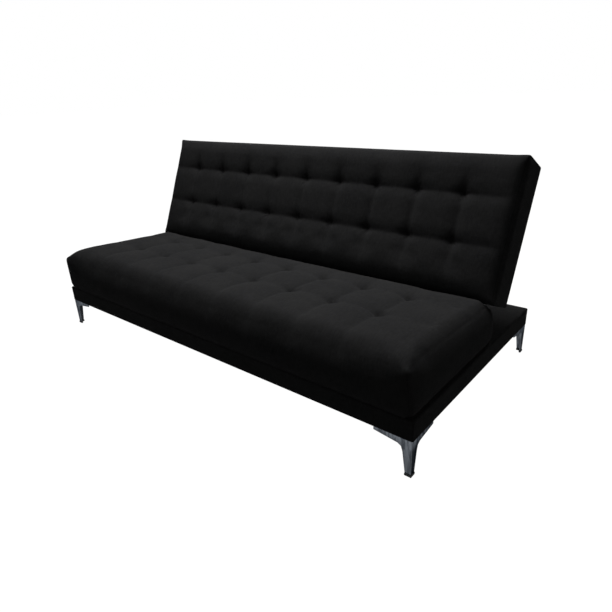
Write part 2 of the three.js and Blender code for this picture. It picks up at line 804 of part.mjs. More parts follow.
// A ladder frame's pieces as [name, low corner, high corner], and the recess that takes them:
// two end members that run the whole way in y, two rails between, and cross members between those.
function ladder(prefix, names, endX, width, y, z, crossCount) {
  const inner = endX - width - gap;
  const pieces = [
    [`${prefix}_left_${names.end}`, [-endX, y[0], z[0]], [-endX + width, y[1], z[1]]],
    [`${prefix}_right_${names.end}`, [endX - width, y[0], z[0]], [endX, y[1], z[1]]],
    [`${prefix}_${names.low}`, [-inner, y[0], z[0]], [inner, y[0] + width, z[1]]],
    [`${prefix}_${names.high}`, [-inner, y[1] - width, z[0]], [inner, y[1], z[1]]],
  ];
  const bays = [];
  let bayStart = -endX + width;
  for (let i = 1; i <= crossCount + 1; i += 1) {
    const x = -inner + (2 * inner * i) / (crossCount + 1);
    const bayEnd = i > crossCount ? endX - width : x - width / 2;
    bays.push(block(
      [bayStart + gap, y[0] + width + gap, z[0] - width],
      [bayEnd - gap, y[1] - width - gap, z[1] + width],
    ));
    bayStart = x + width / 2;
    if (i <= crossCount) {
      pieces.push([
        `${prefix}_${names.cross}_${i}`,
        [x - width / 2, y[0] + width + gap, z[0]],
        [x + width / 2, y[1] - width - gap, z[1]],
      ]);
    }
  }
  const recess = cut(grown([-endX, y[0], z[0]], [endX, y[1], z[1]], gap), bays);
  return { pieces, recess };
}

// Room round the hinge, cut from the foam of both halves.
const foamClearance = 1;
const hingeRoom = {
  inner: Math.min(boltEnd, pinEnd) - foamClearance,
  outer: headLayer[1] + foamClearance,
  below: hinge.quadrantRadius + hinge.strapRadius,
  front: hinge.quadrantRadius + hinge.toothDepth,
  above: hinge.boltHeadRadius,
};

// Pilot holes for the screws in the end members, on both sides.
function pilotHoles(places, face) {
  return bothSides(places.map((place) => bore(
    place,
    screw.shankRadius + screw.holeClearance,
    [hinge.railFace - screw.length, face],
  )));
}

// Both sides of a tool that was drawn on the right.
function bothSides(tools) {
  return tools.flatMap((tool) => {
    const mirrored = geometryOf(solidOf(tool).mirror([1, 0, 0]));
    return [tool, mirrored];
  });
}

function makeSeat() {
  const group = new THREE.Group();
  const frame = ladder(
    'seat',
    { end: 'rail', low: 'front_rail', high: 'rear_rail', cross: 'cross_member' },
    hinge.railFace,
    seatFrame.width,
    [seatFrame.frontSetback, seatRear - seatFrame.rearSetback],
    [seatBottom, seatBottom + seatFrame.height],
    seatFrame.crossCount,
  );
  const headSide = plateLayer[1] + gap + screw.headHeight + foamClearance;
  const hingeTools = bothSides([
    block(
      [hingeRoom.inner, -hingeRoom.front, -hingeRoom.below],
      [hingeRoom.outer, seatDepth, seatThickness],
    ),
    join(seatPlateParts(foamClearance, [plateLayer[0] - gap, headSide])),
  ]).map((tool) => tool.translate(0, pivotY, pivotZ));
  // The swing of the back's lower end, at its furthest forward.
  const swing = block(
    [-baseWidth, pivotToBackEnd - swingClearance, -backThickness],
    [baseWidth, backLength, pivotBelowFace + swingClearance],
  );
  swing.rotateX((reclineDeg + overtravelDeg) * degree);
  swing.translate(0, pivotY, pivotZ);
  const cushion = cut(cushionGeometry(seatForm), [
    frame.recess,
    ...hingeTools,
    swing,
  ]);
  group.add(named('seat_cushion', cushion, fabric()));
  const holes = pilotHoles([seatPlateBend, seatPlateEnd], hinge.railFace)
    .map((tool) => tool.translate(0, pivotY, pivotZ));
  frame.pieces.forEach(([name, low, high], i) => {
    group.add(timber(name, low, high, i < 2 ? holes : []));
  });
  return group;
}

// Drawn lying flat about the hinge axis.
function makeBack() {
  const group = new THREE.Group();
  const panelTop = backLow + rearCover.thickness;
  const frame = ladder(
    'back',
    { end: 'stile', low: 'bottom_rail', high: 'top_rail', cross: 'cross_member' },
    armLayer[0] - gap,
    backFrame.width,
    [pivotToBackEnd + backFrame.endSetback, pivotToBackEnd + backLength - backFrame.topSetback],
    [panelTop + gap, panelTop + gap + backFrame.height],
    backFrame.crossCount,
  );
  const panelShape = (clearance) => roundedOutline(
    -backWidth / 2 + rearCover.border - clearance,
    pivotToBackEnd + rearCover.border - clearance,
    backWidth / 2 - rearCover.border + clearance,
    pivotToBackEnd + backLength - rearCover.border + clearance,
    rearCover.cornerRadius,
  );
  const headSide = armLayer[1] + gap + screw.headHeight + foamClearance;
  const hingeTools = bothSides([
    block(
      [hingeRoom.inner, 0, -backThickness],
      [hingeRoom.outer, pivotToBackEnd + backFrame.endSetback + gap, hingeRoom.above],
    ),
    join(armParts(foamClearance, [armLayer[0] - gap, headSide])),
  ]);
  const cushion = cut(cushionGeometry(backForm), [
    frame.recess,
    extrude(panelShape(gap), 'z', backLow - gap, panelTop + gap),
    ...hingeTools,
  ]);
  group.add(named('back_cushion', cushion, fabric()));
  group.add(named(
    'back_rear_cover',
    extrude(panelShape(0), 'z', backLow, panelTop),
    lining(),
  ));
  const holes = pilotHoles([armBend, armEnd], armLayer[0] - gap);
  frame.pieces.forEach(([name, low, high], i) => {
    group.add(timber(name, low, high, i < 2 ? holes : []));
  });
  return group;
}

const sofa = new THREE.Group();
sofa.name = 'click_clack_sofa_bed';
sofa.add(makeBase(), makeLegs(), makeSeat(), makeSeatHinges());

const back = new THREE.Group();
back.add(makeBack(), makeBackHinges());
back.rotation.x = reclineDeg * degree;
back.position.set(0, pivotY, pivotZ);
sofa.add(back);
sofa.position.y = (seatProud - baseDepth) / 2;

const assembly = new THREE.Group();
assembly.add(sofa);
export default assembly;
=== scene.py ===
import json
import math

import bmesh
import bpy
from mathutils import Matrix, Vector, noise
from mathutils.bvhtree import BVHTree


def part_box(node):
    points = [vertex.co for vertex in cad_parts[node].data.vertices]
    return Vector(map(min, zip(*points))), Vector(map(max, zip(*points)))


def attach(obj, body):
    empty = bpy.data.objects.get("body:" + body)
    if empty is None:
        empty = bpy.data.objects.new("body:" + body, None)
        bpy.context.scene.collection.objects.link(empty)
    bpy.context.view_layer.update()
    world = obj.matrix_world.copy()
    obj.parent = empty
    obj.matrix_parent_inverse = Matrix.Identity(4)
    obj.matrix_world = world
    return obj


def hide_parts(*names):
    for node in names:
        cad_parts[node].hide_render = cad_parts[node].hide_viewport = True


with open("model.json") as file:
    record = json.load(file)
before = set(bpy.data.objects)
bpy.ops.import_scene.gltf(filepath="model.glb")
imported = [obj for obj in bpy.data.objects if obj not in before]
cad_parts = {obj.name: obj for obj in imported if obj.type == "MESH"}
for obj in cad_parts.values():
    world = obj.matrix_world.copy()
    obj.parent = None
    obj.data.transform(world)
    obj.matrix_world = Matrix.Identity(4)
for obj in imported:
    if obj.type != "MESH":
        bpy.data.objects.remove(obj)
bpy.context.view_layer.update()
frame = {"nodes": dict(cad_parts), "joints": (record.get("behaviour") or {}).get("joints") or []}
nodes = frame["nodes"]
scene = bpy.context.scene
scene.view_settings.view_transform = "Standard"

joints = {joint["name"]: joint for joint in frame["joints"]}
pivot = Vector(joints["back_recline"]["pos_m"])
recline = -math.radians(joints["back_recline"]["range_deg"][0])
overtravel = math.radians(joints["back_recline"]["range_deg"][1])
uprightPlace = Matrix.Translation(pivot) @ Matrix.Rotation(recline, 4, "X")
forwardPlace = Matrix.Translation(pivot) @ Matrix.Rotation(overtravel, 4, "X") @ Matrix.Translation(-pivot)


# Shader helpers. Most of what a noise texture gives lies inside these two bands.

noiseBand, wideBand = (0.35, 0.65), (0.3, 0.7)

def feed(tree, socket, value):
    if isinstance(value, bpy.types.NodeSocket):
        tree.links.new(value, socket)
    else:
        socket.default_value = value


def addNode(tree, kind, **values):
    node = tree.nodes.new("ShaderNode" + kind)
    for name, value in values.items():
        if hasattr(node, name):
            setattr(node, name, value)
        else:
            feed(tree, node.inputs[name.replace("_", " ")], value)
    return node


def mathNode(tree, operation, *values, clamp=False):
    node = addNode(tree, "Math", operation=operation, use_clamp=clamp)
    for socket, value in zip(node.inputs, values):
        feed(tree, socket, value)
    return node.outputs[0]


def times(tree, first, second, clamp=False):
    return mathNode(tree, "MULTIPLY", first, second, clamp=clamp)


def rangeNode(tree, value, fromLow, fromHigh, toLow, toHigh):
    node = addNode(tree, "MapRange", Value=value, From_Min=fromLow, From_Max=fromHigh, To_Min=toLow, To_Max=toHigh)
    return node.outputs[0]


def noiseNode(tree, vector, scale, detail=2.0, stretch=None):
    if stretch:
        vector = addNode(tree, "Mapping", Vector=vector, Scale=stretch).outputs[0]
    return addNode(tree, "TexNoise", Vector=vector, Scale=scale, Detail=detail).outputs["Fac"]


def storedNode(tree, name, output):
    return addNode(tree, "Attribute", attribute_name=name).outputs[output]


def newGroup(name, inputs, outputs):
    tree = bpy.data.node_groups.new(name, "ShaderNodeTree")
    for label, kind, value in inputs:
        socket = tree.interface.new_socket(label, in_out="INPUT", socket_type="NodeSocket" + kind)
        if value is not None:
            socket.default_value = value
    for label, kind in outputs:
        tree.interface.new_socket(label, in_out="OUTPUT", socket_type="NodeSocket" + kind)
    return tree, tree.nodes.new("NodeGroupInput"), tree.nodes.new("NodeGroupOutput")


def placeGroup(tree, group, **values):
    node = tree.nodes.new("ShaderNodeGroup")
    node.node_tree = group
    for name, value in values.items():
        feed(tree, node.inputs[name], value)
    return node


weaveForm = dict(wanderScale=60.0, wander=0.0012, slubAcross=620.0, slubAlong=26.0,
                 threadTone=0.35, slubTone=0.5, darkened=0.1)


# A plain weave with slubs: the height of its threads, and how its tone wanders from thread to thread.
def weaveGroup():
    tree, start, end = newGroup(
        "linenWeave",
        [("Vector", "Vector", None), ("Threads", "Float", 900.0), ("Slub", "Float", 0.5)],
        [("Height", "Float"), ("Tone", "Float")],
    )
    vector = start.outputs["Vector"]
    wander = addNode(tree, "TexNoise", Vector=vector, Scale=weaveForm["wanderScale"])
    warped = addNode(tree, "VectorMath", operation="MULTIPLY_ADD")
    for socket, value in zip(warped.inputs, (wander.outputs["Color"], (weaveForm["wander"],) * 3, vector)):
        feed(tree, socket, value)
    split = addNode(tree, "SeparateXYZ", Vector=warped.outputs[0])
    across = times(tree, split.outputs[0], start.outputs["Threads"])
    along = times(tree, split.outputs[1], start.outputs["Threads"])
    warp = mathNode(tree, "ABSOLUTE", mathNode(tree, "SINE", times(tree, across, math.pi)))
    weft = mathNode(tree, "ABSOLUTE", mathNode(tree, "SINE", times(tree, along, math.pi)))
    steps = mathNode(tree, "ADD", mathNode(tree, "FLOOR", across), mathNode(tree, "FLOOR", along))
    over = mathNode(tree, "PINGPONG", steps, 1.0)
    warpOver = times(tree, warp, over)
    weftOver = times(tree, weft, mathNode(tree, "SUBTRACT", 1.0, over))
    threads = mathNode(tree, "ADD", warpOver, weftOver)
    fine, drawn = weaveForm["slubAcross"], weaveForm["slubAlong"]
    warpSlub = noiseNode(tree, warped.outputs[0], 1.0, 2.0, (fine, drawn, drawn))
    weftSlub = noiseNode(tree, warped.outputs[0], 1.0, 2.0, (drawn, fine, drawn))
    slubs = mathNode(tree, "ADD", warpSlub, weftSlub)
    raised = times(tree, slubs, start.outputs["Slub"])
    tree.links.new(mathNode(tree, "ADD", threads, raised), end.inputs["Height"])
    threadTone = times(tree, threads, weaveForm["threadTone"])
    tone = mathNode(tree, "ADD", threadTone, times(tree, slubs, weaveForm["slubTone"]))
    tree.links.new(mathNode(tree, "SUBTRACT", tone, weaveForm["darkened"], clamp=True), end.inputs["Tone"])
    return tree


# Slow changes over a surface: rubbed places, dust and handling.
def wearGroup():
    tree, start, end = newGroup(
        "softWear",
        [("Vector", "Vector", None), ("Size", "Float", 6.0), ("Amount", "Float", 0.5)],
        [("Mask", "Float")],
    )
    broad = noiseNode(tree, start.outputs["Vector"], start.outputs["Size"], 4.0)
    shaped = rangeNode(tree, broad, *noiseBand, 0.0, 1.0)
    tree.links.new(times(tree, shaped, start.outputs["Amount"], clamp=True), end.inputs["Mask"])
    return tree


# Bright rims where a hard piece's eased edges are rubbed, broken here and there.
def edgeGroup():
    tree, start, end = newGroup(
        "edgeRub",
        [("Vector", "Vector", None), ("Rim", "Float", 0.0), ("Breaks", "Float", 220.0)],
        [("Mask", "Float")],
    )
    broken = noiseNode(tree, start.outputs["Vector"], start.outputs["Breaks"])
    worn = rangeNode(tree, broken, 0.35, 0.6, 0.35, 1.0)
    tree.links.new(times(tree, worn, start.outputs["Rim"], clamp=True), end.inputs["Mask"])
    return tree


# Which faces turn to the side. On the legs' shiny plates this mask paints a darker reflection into the colour, standing
# in for the darker sides of the room that they mirror.
def sidewaysGroup():
    tree, start, end = newGroup("sidewaysFaces", [("Amount", "Float", 0.7)], [("Mask", "Float")])
    split = addNode(tree, "SeparateXYZ", Vector=addNode(tree, "NewGeometry").outputs["Normal"])
    turned = rangeNode(tree, mathNode(tree, "ABSOLUTE", split.outputs[0]), 0.35, 0.85, 0.0, 1.0)
    tree.links.new(times(tree, turned, start.outputs["Amount"], clamp=True), end.inputs["Mask"])
    return tree


seamForm = dict(puckerReach=0.014, puckerScale=150.0, puckerHeight=0.0011, foldDepth=0.0004)


# Where two panels of cloth are stitched together: a fold along the line, and small puckers beside it. The fold's mask
# also darkens the colour there as painted shade.
def seamGroup():
    tree, start, end = newGroup(
        "seamFold",
        [("Vector", "Vector", None), ("Away", "Float", 1.0), ("Width", "Float", 0.0016)],
        [("Mask", "Float"), ("Height", "Float")],
    )
    share = mathNode(tree, "DIVIDE", start.outputs["Away"], start.outputs["Width"])
    fold = rangeNode(tree, share, 0.3, 1.0, 1.0, 0.0)
    near = rangeNode(tree, start.outputs["Away"], 0.0, seamForm["puckerReach"], 1.0, 0.0)
    puckers = noiseNode(tree, start.outputs["Vector"], seamForm["puckerScale"])
    raised = times(tree, times(tree, near, puckers), seamForm["puckerHeight"])
    sunk = times(tree, fold, seamForm["foldDepth"])
    tree.links.new(fold, end.inputs["Mask"])
    tree.links.new(mathNode(tree, "SUBTRACT", raised, sunk), end.inputs["Height"])
    return tree


pleatForm = dict(pleats=5.0, turns=14.0, turnScale=22.0, opening=0.012, height=0.0016,
                 rippleScale=34.0, rippleHeight=0.0018)


# Pleats that run out from a tuft, and the loose ripples of cloth over foam.
def pleatGroup():
    tree, start, end = newGroup(
        "tuftPleats",
        [("Vector", "Vector", None), ("FromTuft", "Vector", None), ("Reach", "Float", 0.022)],
        [("Height", "Float")],
    )
    split = addNode(tree, "SeparateXYZ", Vector=start.outputs["FromTuft"])
    angle = mathNode(tree, "ARCTAN2", split.outputs[1], split.outputs[0])
    length = addNode(tree, "VectorMath", operation="LENGTH")
    tree.links.new(start.outputs["FromTuft"], length.inputs[0])
    away = length.outputs["Value"]
    uneven = noiseNode(tree, start.outputs["Vector"], pleatForm["turnScale"], 1.0)
    turned = mathNode(tree, "ADD", times(tree, angle, pleatForm["pleats"]), times(tree, uneven, pleatForm["turns"]))
    lobes = mathNode(tree, "SINE", turned)
    reached = mathNode(tree, "DIVIDE", away, start.outputs["Reach"])
    falling = mathNode(tree, "EXPONENT", times(tree, reached, -1.0))
    opening = rangeNode(tree, away, 0.0, pleatForm["opening"], 0.0, 1.0)
    pleats = times(tree, times(tree, lobes, falling), times(tree, opening, pleatForm["height"]))
    rippled = noiseNode(tree, start.outputs["Vector"], pleatForm["rippleScale"])
    ripples = times(tree, rippled, pleatForm["rippleHeight"])
    tree.links.new(mathNode(tree, "ADD", pleats, ripples), end.inputs["Height"])
    return tree


weaveNodes, wearNodes, edgeNodes = weaveGroup(), wearGroup(), edgeGroup()
seamNodes, pleatNodes, sidewaysNodes = seamGroup(), pleatGroup(), sidewaysGroup()


def newMaterial(name, color, roughness, metallic=0.0):
    material = bpy.data.materials.new(name)
    material.use_nodes = True
    tree = material.node_tree
    shader = tree.nodes["Principled BSDF"]
    shader.inputs["Base Color"].default_value = (*color, 1.0)
    shader.inputs["Roughness"].default_value = roughness
    shader.inputs["Metallic"].default_value = metallic
    return material, tree, shader, addNode(tree, "TexCoord").outputs["Object"]


def mixColor(tree, factor, first, second):
    node = addNode(tree, "Mix", data_type="RGBA", Factor=factor)
    colorInputs = [socket for socket in node.inputs if socket.type == "RGBA"]
    for socket, value in zip(colorInputs, (first, second)):
        feed(tree, socket, (*value, 1.0) if isinstance(value, tuple) else value)
    return next(socket for socket in node.outputs if socket.type == "RGBA")


def addBump(tree, shader, height, strength, distance):
    bump = addNode(tree, "Bump", Strength=strength, Distance=distance, Height=height)
    tree.links.new(bump.outputs[0], shader.inputs["Normal"])


cloth = dict(
    dark=(0.0135, 0.0135, 0.014), light=(0.037, 0.037, 0.038), rubbed=(0.042, 0.0415, 0.041),
    sewn=(0.013, 0.013, 0.0135), threads=640.0, slub=0.55, weaveHeight=0.00022, seamWidth=0.0009, pleatReach=0.02,
    streak=(210.0, 34.0, 34.0), streakTone=0.09, mottle=90.0, mottleTone=0.07,
)


def clothMaterial(name):
    material, tree, shader, place = newMaterial(name, cloth["dark"], 0.9)
    cut = addNode(tree, "UVMap", uv_map="cut").outputs[0]
    away, fromTuft = storedNode(tree, "seamAway", "Fac"), storedNode(tree, "fromTuft", "Vector")
    weave = placeGroup(tree, weaveNodes, Vector=cut, Threads=cloth["threads"], Slub=cloth["slub"])
    wear = placeGroup(tree, wearNodes, Vector=place, Size=7.0, Amount=0.3)
    seam = placeGroup(tree, seamNodes, Vector=place, Away=away, Width=cloth["seamWidth"])
    pleat = placeGroup(tree, pleatNodes, Vector=place, FromTuft=fromTuft, Reach=cloth["pleatReach"])
    streaks = rangeNode(tree, noiseNode(tree, cut, 1.0, 3.0, cloth["streak"]),
                        *noiseBand, -cloth["streakTone"], cloth["streakTone"])
    mottle = rangeNode(tree, noiseNode(tree, place, cloth["mottle"], 3.0),
                       *noiseBand, -cloth["mottleTone"], cloth["mottleTone"])
    uneven = mathNode(tree, "ADD", streaks, mottle)
    tone = mathNode(tree, "ADD", weave.outputs["Tone"], uneven, clamp=True)
    toned = mixColor(tree, tone, cloth["dark"], cloth["light"])
    worn = mixColor(tree, wear.outputs["Mask"], toned, cloth["rubbed"])
    # Painted shade: the seam's fold is darkened in the colour.
    tree.links.new(mixColor(tree, seam.outputs["Mask"], worn, cloth["sewn"]), shader.inputs["Base Color"])
    tree.links.new(rangeNode(tree, weave.outputs["Tone"], 0.0, 1.0, 0.98, 0.84), shader.inputs["Roughness"])
    shader.inputs["Sheen Weight"].default_value = 0.012
    shader.inputs["Sheen Roughness"].default_value = 0.5
    shader.inputs["Specular IOR Level"].default_value = 0.01
    threadHeight = times(tree, weave.outputs["Height"], cloth["weaveHeight"])
    folds = mathNode(tree, "ADD", seam.outputs["Height"], pleat.outputs["Height"])
    addBump(tree, shader, mathNode(tree, "ADD", threadHeight, folds), 0.8, 1.0)
    return material


lining = dict(color=(0.012, 0.012, 0.013), dark=(0.022, 0.022, 0.024), light=(0.05, 0.05, 0.052),
              dusty=(0.058, 0.056, 0.054), fibres=900.0)


def liningMaterial(name):
    material, tree, shader, place = newMaterial(name, lining["color"], 0.95)
    fibres = noiseNode(tree, place, lining["fibres"], 3.0)
    wear = placeGroup(tree, wearNodes, Vector=place, Size=9.0, Amount=0.4)
    toned = mixColor(tree, fibres, lining["dark"], lining["light"])
    tree.links.new(mixColor(tree, wear.outputs["Mask"], toned, lining["dusty"]), shader.inputs["Base Color"])
    tree.links.new(rangeNode(tree, fibres, *wideBand, 0.98, 0.8), shader.inputs["Roughness"])
    addBump(tree, shader, fibres, 0.35, 0.0006)
    return material


metalWear = dict(dimmed=0.86, smoothest=0.8, roughest=1.25, roughened=0.35)


def metalMaterial(name, color, edgeColor, glancing, roughness, grain, paintedReflection=None):
    material, tree, shader, place = newMaterial(name, color, roughness, 1.0)
    brushed = noiseNode(tree, place, 1.0, 3.0, grain)
    wear = placeGroup(tree, wearNodes, Vector=place, Size=24.0, Amount=0.5)
    edge = placeGroup(tree, edgeNodes, Vector=place, Rim=storedNode(tree, "rim", "Fac"))
    toned = mixColor(tree, wear.outputs["Mask"], color, tuple(part * metalWear["dimmed"] for part in color))
    if paintedReflection:
        # Painted reflection: streaks of darker colour stand in for the surroundings mirrored in the plates.
        reflectionStreaks = rangeNode(tree, noiseNode(tree, place, 1.0, 3.0, paintedReflection["stretch"]), *paintedReflection["levels"], 0.0, 1.0)
        toned = mixColor(tree, reflectionStreaks, paintedReflection["dark"], toned)
        # Painted shade: faces turned to the side get a dark colour painted in as their reflection, less on the bent
        # flanges, which face the light more than the columns below them.
        level = addNode(tree, "SeparateXYZ", Vector=place).outputs[2]
        below = rangeNode(tree, level, *paintedReflection["flange"], 1.0, 0.3)
        paintedSideReflection = placeGroup(tree, sidewaysNodes, Amount=times(tree, below, paintedReflection["paintedSideReflection"]))
        toned = mixColor(tree, paintedSideReflection.outputs["Mask"], toned, paintedReflection["deep"])
    tree.links.new(mixColor(tree, edge.outputs["Mask"], toned, edgeColor), shader.inputs["Base Color"])
    grained = rangeNode(tree, brushed, *wideBand, roughness * metalWear["smoothest"], roughness * metalWear["roughest"])
    roughened = times(tree, wear.outputs["Mask"], roughness * metalWear["roughened"])
    tree.links.new(mathNode(tree, "ADD", grained, roughened, clamp=True), shader.inputs["Roughness"])
    shader.inputs["Specular Tint"].default_value = (*glancing, 1.0)
    addBump(tree, shader, brushed, 0.06, 0.0002)
    return material


wood = dict(color=(0.5, 0.32, 0.17), dark=(0.3, 0.17, 0.08), light=(0.6, 0.41, 0.23), worn=(0.4, 0.3, 0.2),
            fineness=7.0, bandShare=0.7, fineShare=0.3, levels=(0.36, 0.64))


def woodMaterial(name, stretch):
    material, tree, shader, place = newMaterial(name, wood["color"], 0.7)
    bands = noiseNode(tree, place, 1.0, 5.0, stretch)
    fine = noiseNode(tree, place, 1.0, 3.0, tuple(part * wood["fineness"] for part in stretch))
    wear = placeGroup(tree, wearNodes, Vector=place, Size=14.0, Amount=0.35)
    grain = mathNode(tree, "ADD", times(tree, bands, wood["bandShare"]), times(tree, fine, wood["fineShare"]))
    toned = mixColor(tree, rangeNode(tree, grain, *wood["levels"], 0.0, 1.0), wood["dark"], wood["light"])
    tree.links.new(mixColor(tree, wear.outputs["Mask"], toned, wood["worn"]), shader.inputs["Base Color"])
    tree.links.new(rangeNode(tree, fine, *wideBand, 0.6, 0.85), shader.inputs["Roughness"])
    addBump(tree, shader, grain, 0.2, 0.0006)
    return material


plastic = dict(color=(0.06, 0.063, 0.067), dark=(0.055, 0.058, 0.062), light=(0.085, 0.086, 0.088), grain=1400.0)


def plasticMaterial(name):
    material, tree, shader, place = newMaterial(name, plastic["color"], 0.5)
    fine = noiseNode(tree, place, plastic["grain"])
    wear = placeGroup(tree, wearNodes, Vector=place, Size=60.0, Amount=0.6)
    toned = mixColor(tree, wear.outputs["Mask"], plastic["dark"], plastic["light"])
    tree.links.new(toned, shader.inputs["Base Color"])
    tree.links.new(rangeNode(tree, fine, *wideBand, 0.42, 0.62), shader.inputs["Roughness"])
    addBump(tree, shader, fine, 0.15, 0.0002)
    return material


blackCloth = clothMaterial("blackCloth")
blackLining = liningMaterial("blackLining")
# Painted reflection for the leg plates: dark streaks, and a dark colour painted on faces turned to the side.
paintedLegReflections = dict(stretch=(80.0, 80.0, 18.0), levels=(0.42, 0.58), dark=(0.20, 0.225, 0.26),
                deep=(0.05, 0.055, 0.062), paintedSideReflection=0.85, flange=(0.09, 0.112))
gunmetal = metalMaterial(
    "gunmetalPlate", color=(0.52, 0.57, 0.64), edgeColor=(0.6, 0.65, 0.7), glancing=(0.32, 0.33, 0.35),
    roughness=0.16, grain=(60.0, 60.0, 900.0), paintedReflection=paintedLegReflections,
)
blackSteel = metalMaterial(
    "blackSteel", color=(0.085, 0.088, 0.094), edgeColor=(0.3, 0.305, 0.315), glancing=(0.6, 0.6, 0.6),
    roughness=0.42, grain=(300.0, 300.0, 300.0),
)
zincPlate = metalMaterial(
    "zincPlate", color=(0.5, 0.51, 0.53), edgeColor=(0.72, 0.73, 0.74), glancing=(0.9, 0.9, 0.9),
    roughness=0.34, grain=(300.0, 300.0, 300.0),
)
timberAlongX = woodMaterial("timberAlongX", (3.0, 60.0, 60.0))
timberAlongY = woodMaterial("timberAlongY", (60.0, 3.0, 60.0))
blackPlastic = plasticMaterial("blackPlastic")
print("materials made")


# Pieces. Faces that meet at more than these degrees keep a sharp edge. Lengths are in metres.

sharpAngles = dict(pad=60, sheet=50, hard=35)
tiny = 0.000001
onEdge = 0.0001


def linked(bm, name):
    mesh = bpy.data.meshes.new(name)
    bm.to_mesh(mesh)
    bm.free()
    made = bpy.data.objects.new(name, mesh)
    bpy.context.collection.objects.link(made)
    return made


def finished(bm, name, material, body, sharp=None):
    piece = linked(bm, name)
    piece.data.materials.append(material)
    piece.data.polygons.foreach_set("use_smooth", [True] * len(piece.data.polygons))
    if sharp:
        piece.data.set_sharp_from_angle(angle=math.radians(sharp))
    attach(piece, body)
    return piece


# A block cut into slabs along each axis, with its cloth's cut kept as a flat map in metres.
def slabBlock(low, high, cuts):
    bm = bmesh.new()
    bmesh.ops.create_cube(bm, size=1.0)
    bmesh.ops.scale(bm, vec=high - low, verts=bm.verts)
    bmesh.ops.translate(bm, vec=(low + high) / 2, verts=bm.verts)
    for axis, count in enumerate(cuts):
        along = [e for e in bm.edges if abs(e.verts[0].co[axis] - e.verts[1].co[axis]) > tiny]
        bmesh.ops.subdivide_edges(bm, edges=along, cuts=count, use_grid_fill=True)
    bm.normal_update()
    layer = bm.loops.layers.uv.new("cut")
    for face in bm.faces:
        normal = [abs(part) for part in face.normal]
        axis = normal.index(max(normal))
        across, along = ((1, 2), (0, 2), (0, 1))[axis]
        for loop in face.loops:
            place = loop.vert.co
            fold = low.y - high.z if axis == 1 and face.normal.y < 0 else 0.0
            loop[layer].uv = (place[across], place[along] + fold)
    return bm


def openBelow(bm):
    bottom = [f for f in bm.faces if f.normal.z < -0.9]
    bmesh.ops.delete(bm, geom=bottom, context="FACES")


def easeEdges(bm, edges, reach, segments=2):
    return bmesh.ops.bevel(bm, geom=edges, offset=reach, offset_type="OFFSET", segments=segments, profile=0.5,
                           affect="EDGES", material=-1, clamp_overlap=True)["faces"]


# How far a point of a block is from its ends, and from its front or rear.
def fromEdges(low, high, place):
    return high.x - abs(place.x), min(place.y - low.y, high.y - place.y)

def eased(value):
    value = min(max(value, 0.0), 1.0)
    return value * value * (3.0 - 2.0 * value)


def fading(distance, reach):
    return max(0.0, 1.0 - distance / reach)


def nearness(distance, reach):
    return math.exp(-((distance / reach) ** 2))


def rounded(first, second):
    reach = math.hypot(first, second)
    if reach == 0.0:
        return 0.0, 0.0
    longest = max(first, second)
    return first * longest / reach, second * longest / reach


# What the two cushions' forms share. The tufts' own sizes are with each pad.
padForm = dict(foldPower=1.3, skirtReach=0.06, turnTaper=0.7, frontSoftening=0.8, frontPush=0.7,
               leanReach=0.3, tuckReach=0.03, swayScale=9.0)


# How far a crown has risen this far in from an edge that it spills over.
def bulged(inside, reach, spill):
    short = max(0.0, 1.0 - (inside + spill) / (reach + spill))
    return 1.0 - short ** 2


# A narrow fold in the middle of a wider hollow.
def creased(distance, width, reach, dips):
    fold = math.exp(-((distance / width) ** padForm["foldPower"]))
    hollow = fading(distance, reach) ** 2
    return dips[0] * fold + dips[1] * hollow


def columnPlaces(pad):
    half = pad["high"].x - pad["endMargin"]
    return [-half + 2 * half * i / (pad["columns"] - 1) for i in range(pad["columns"])]


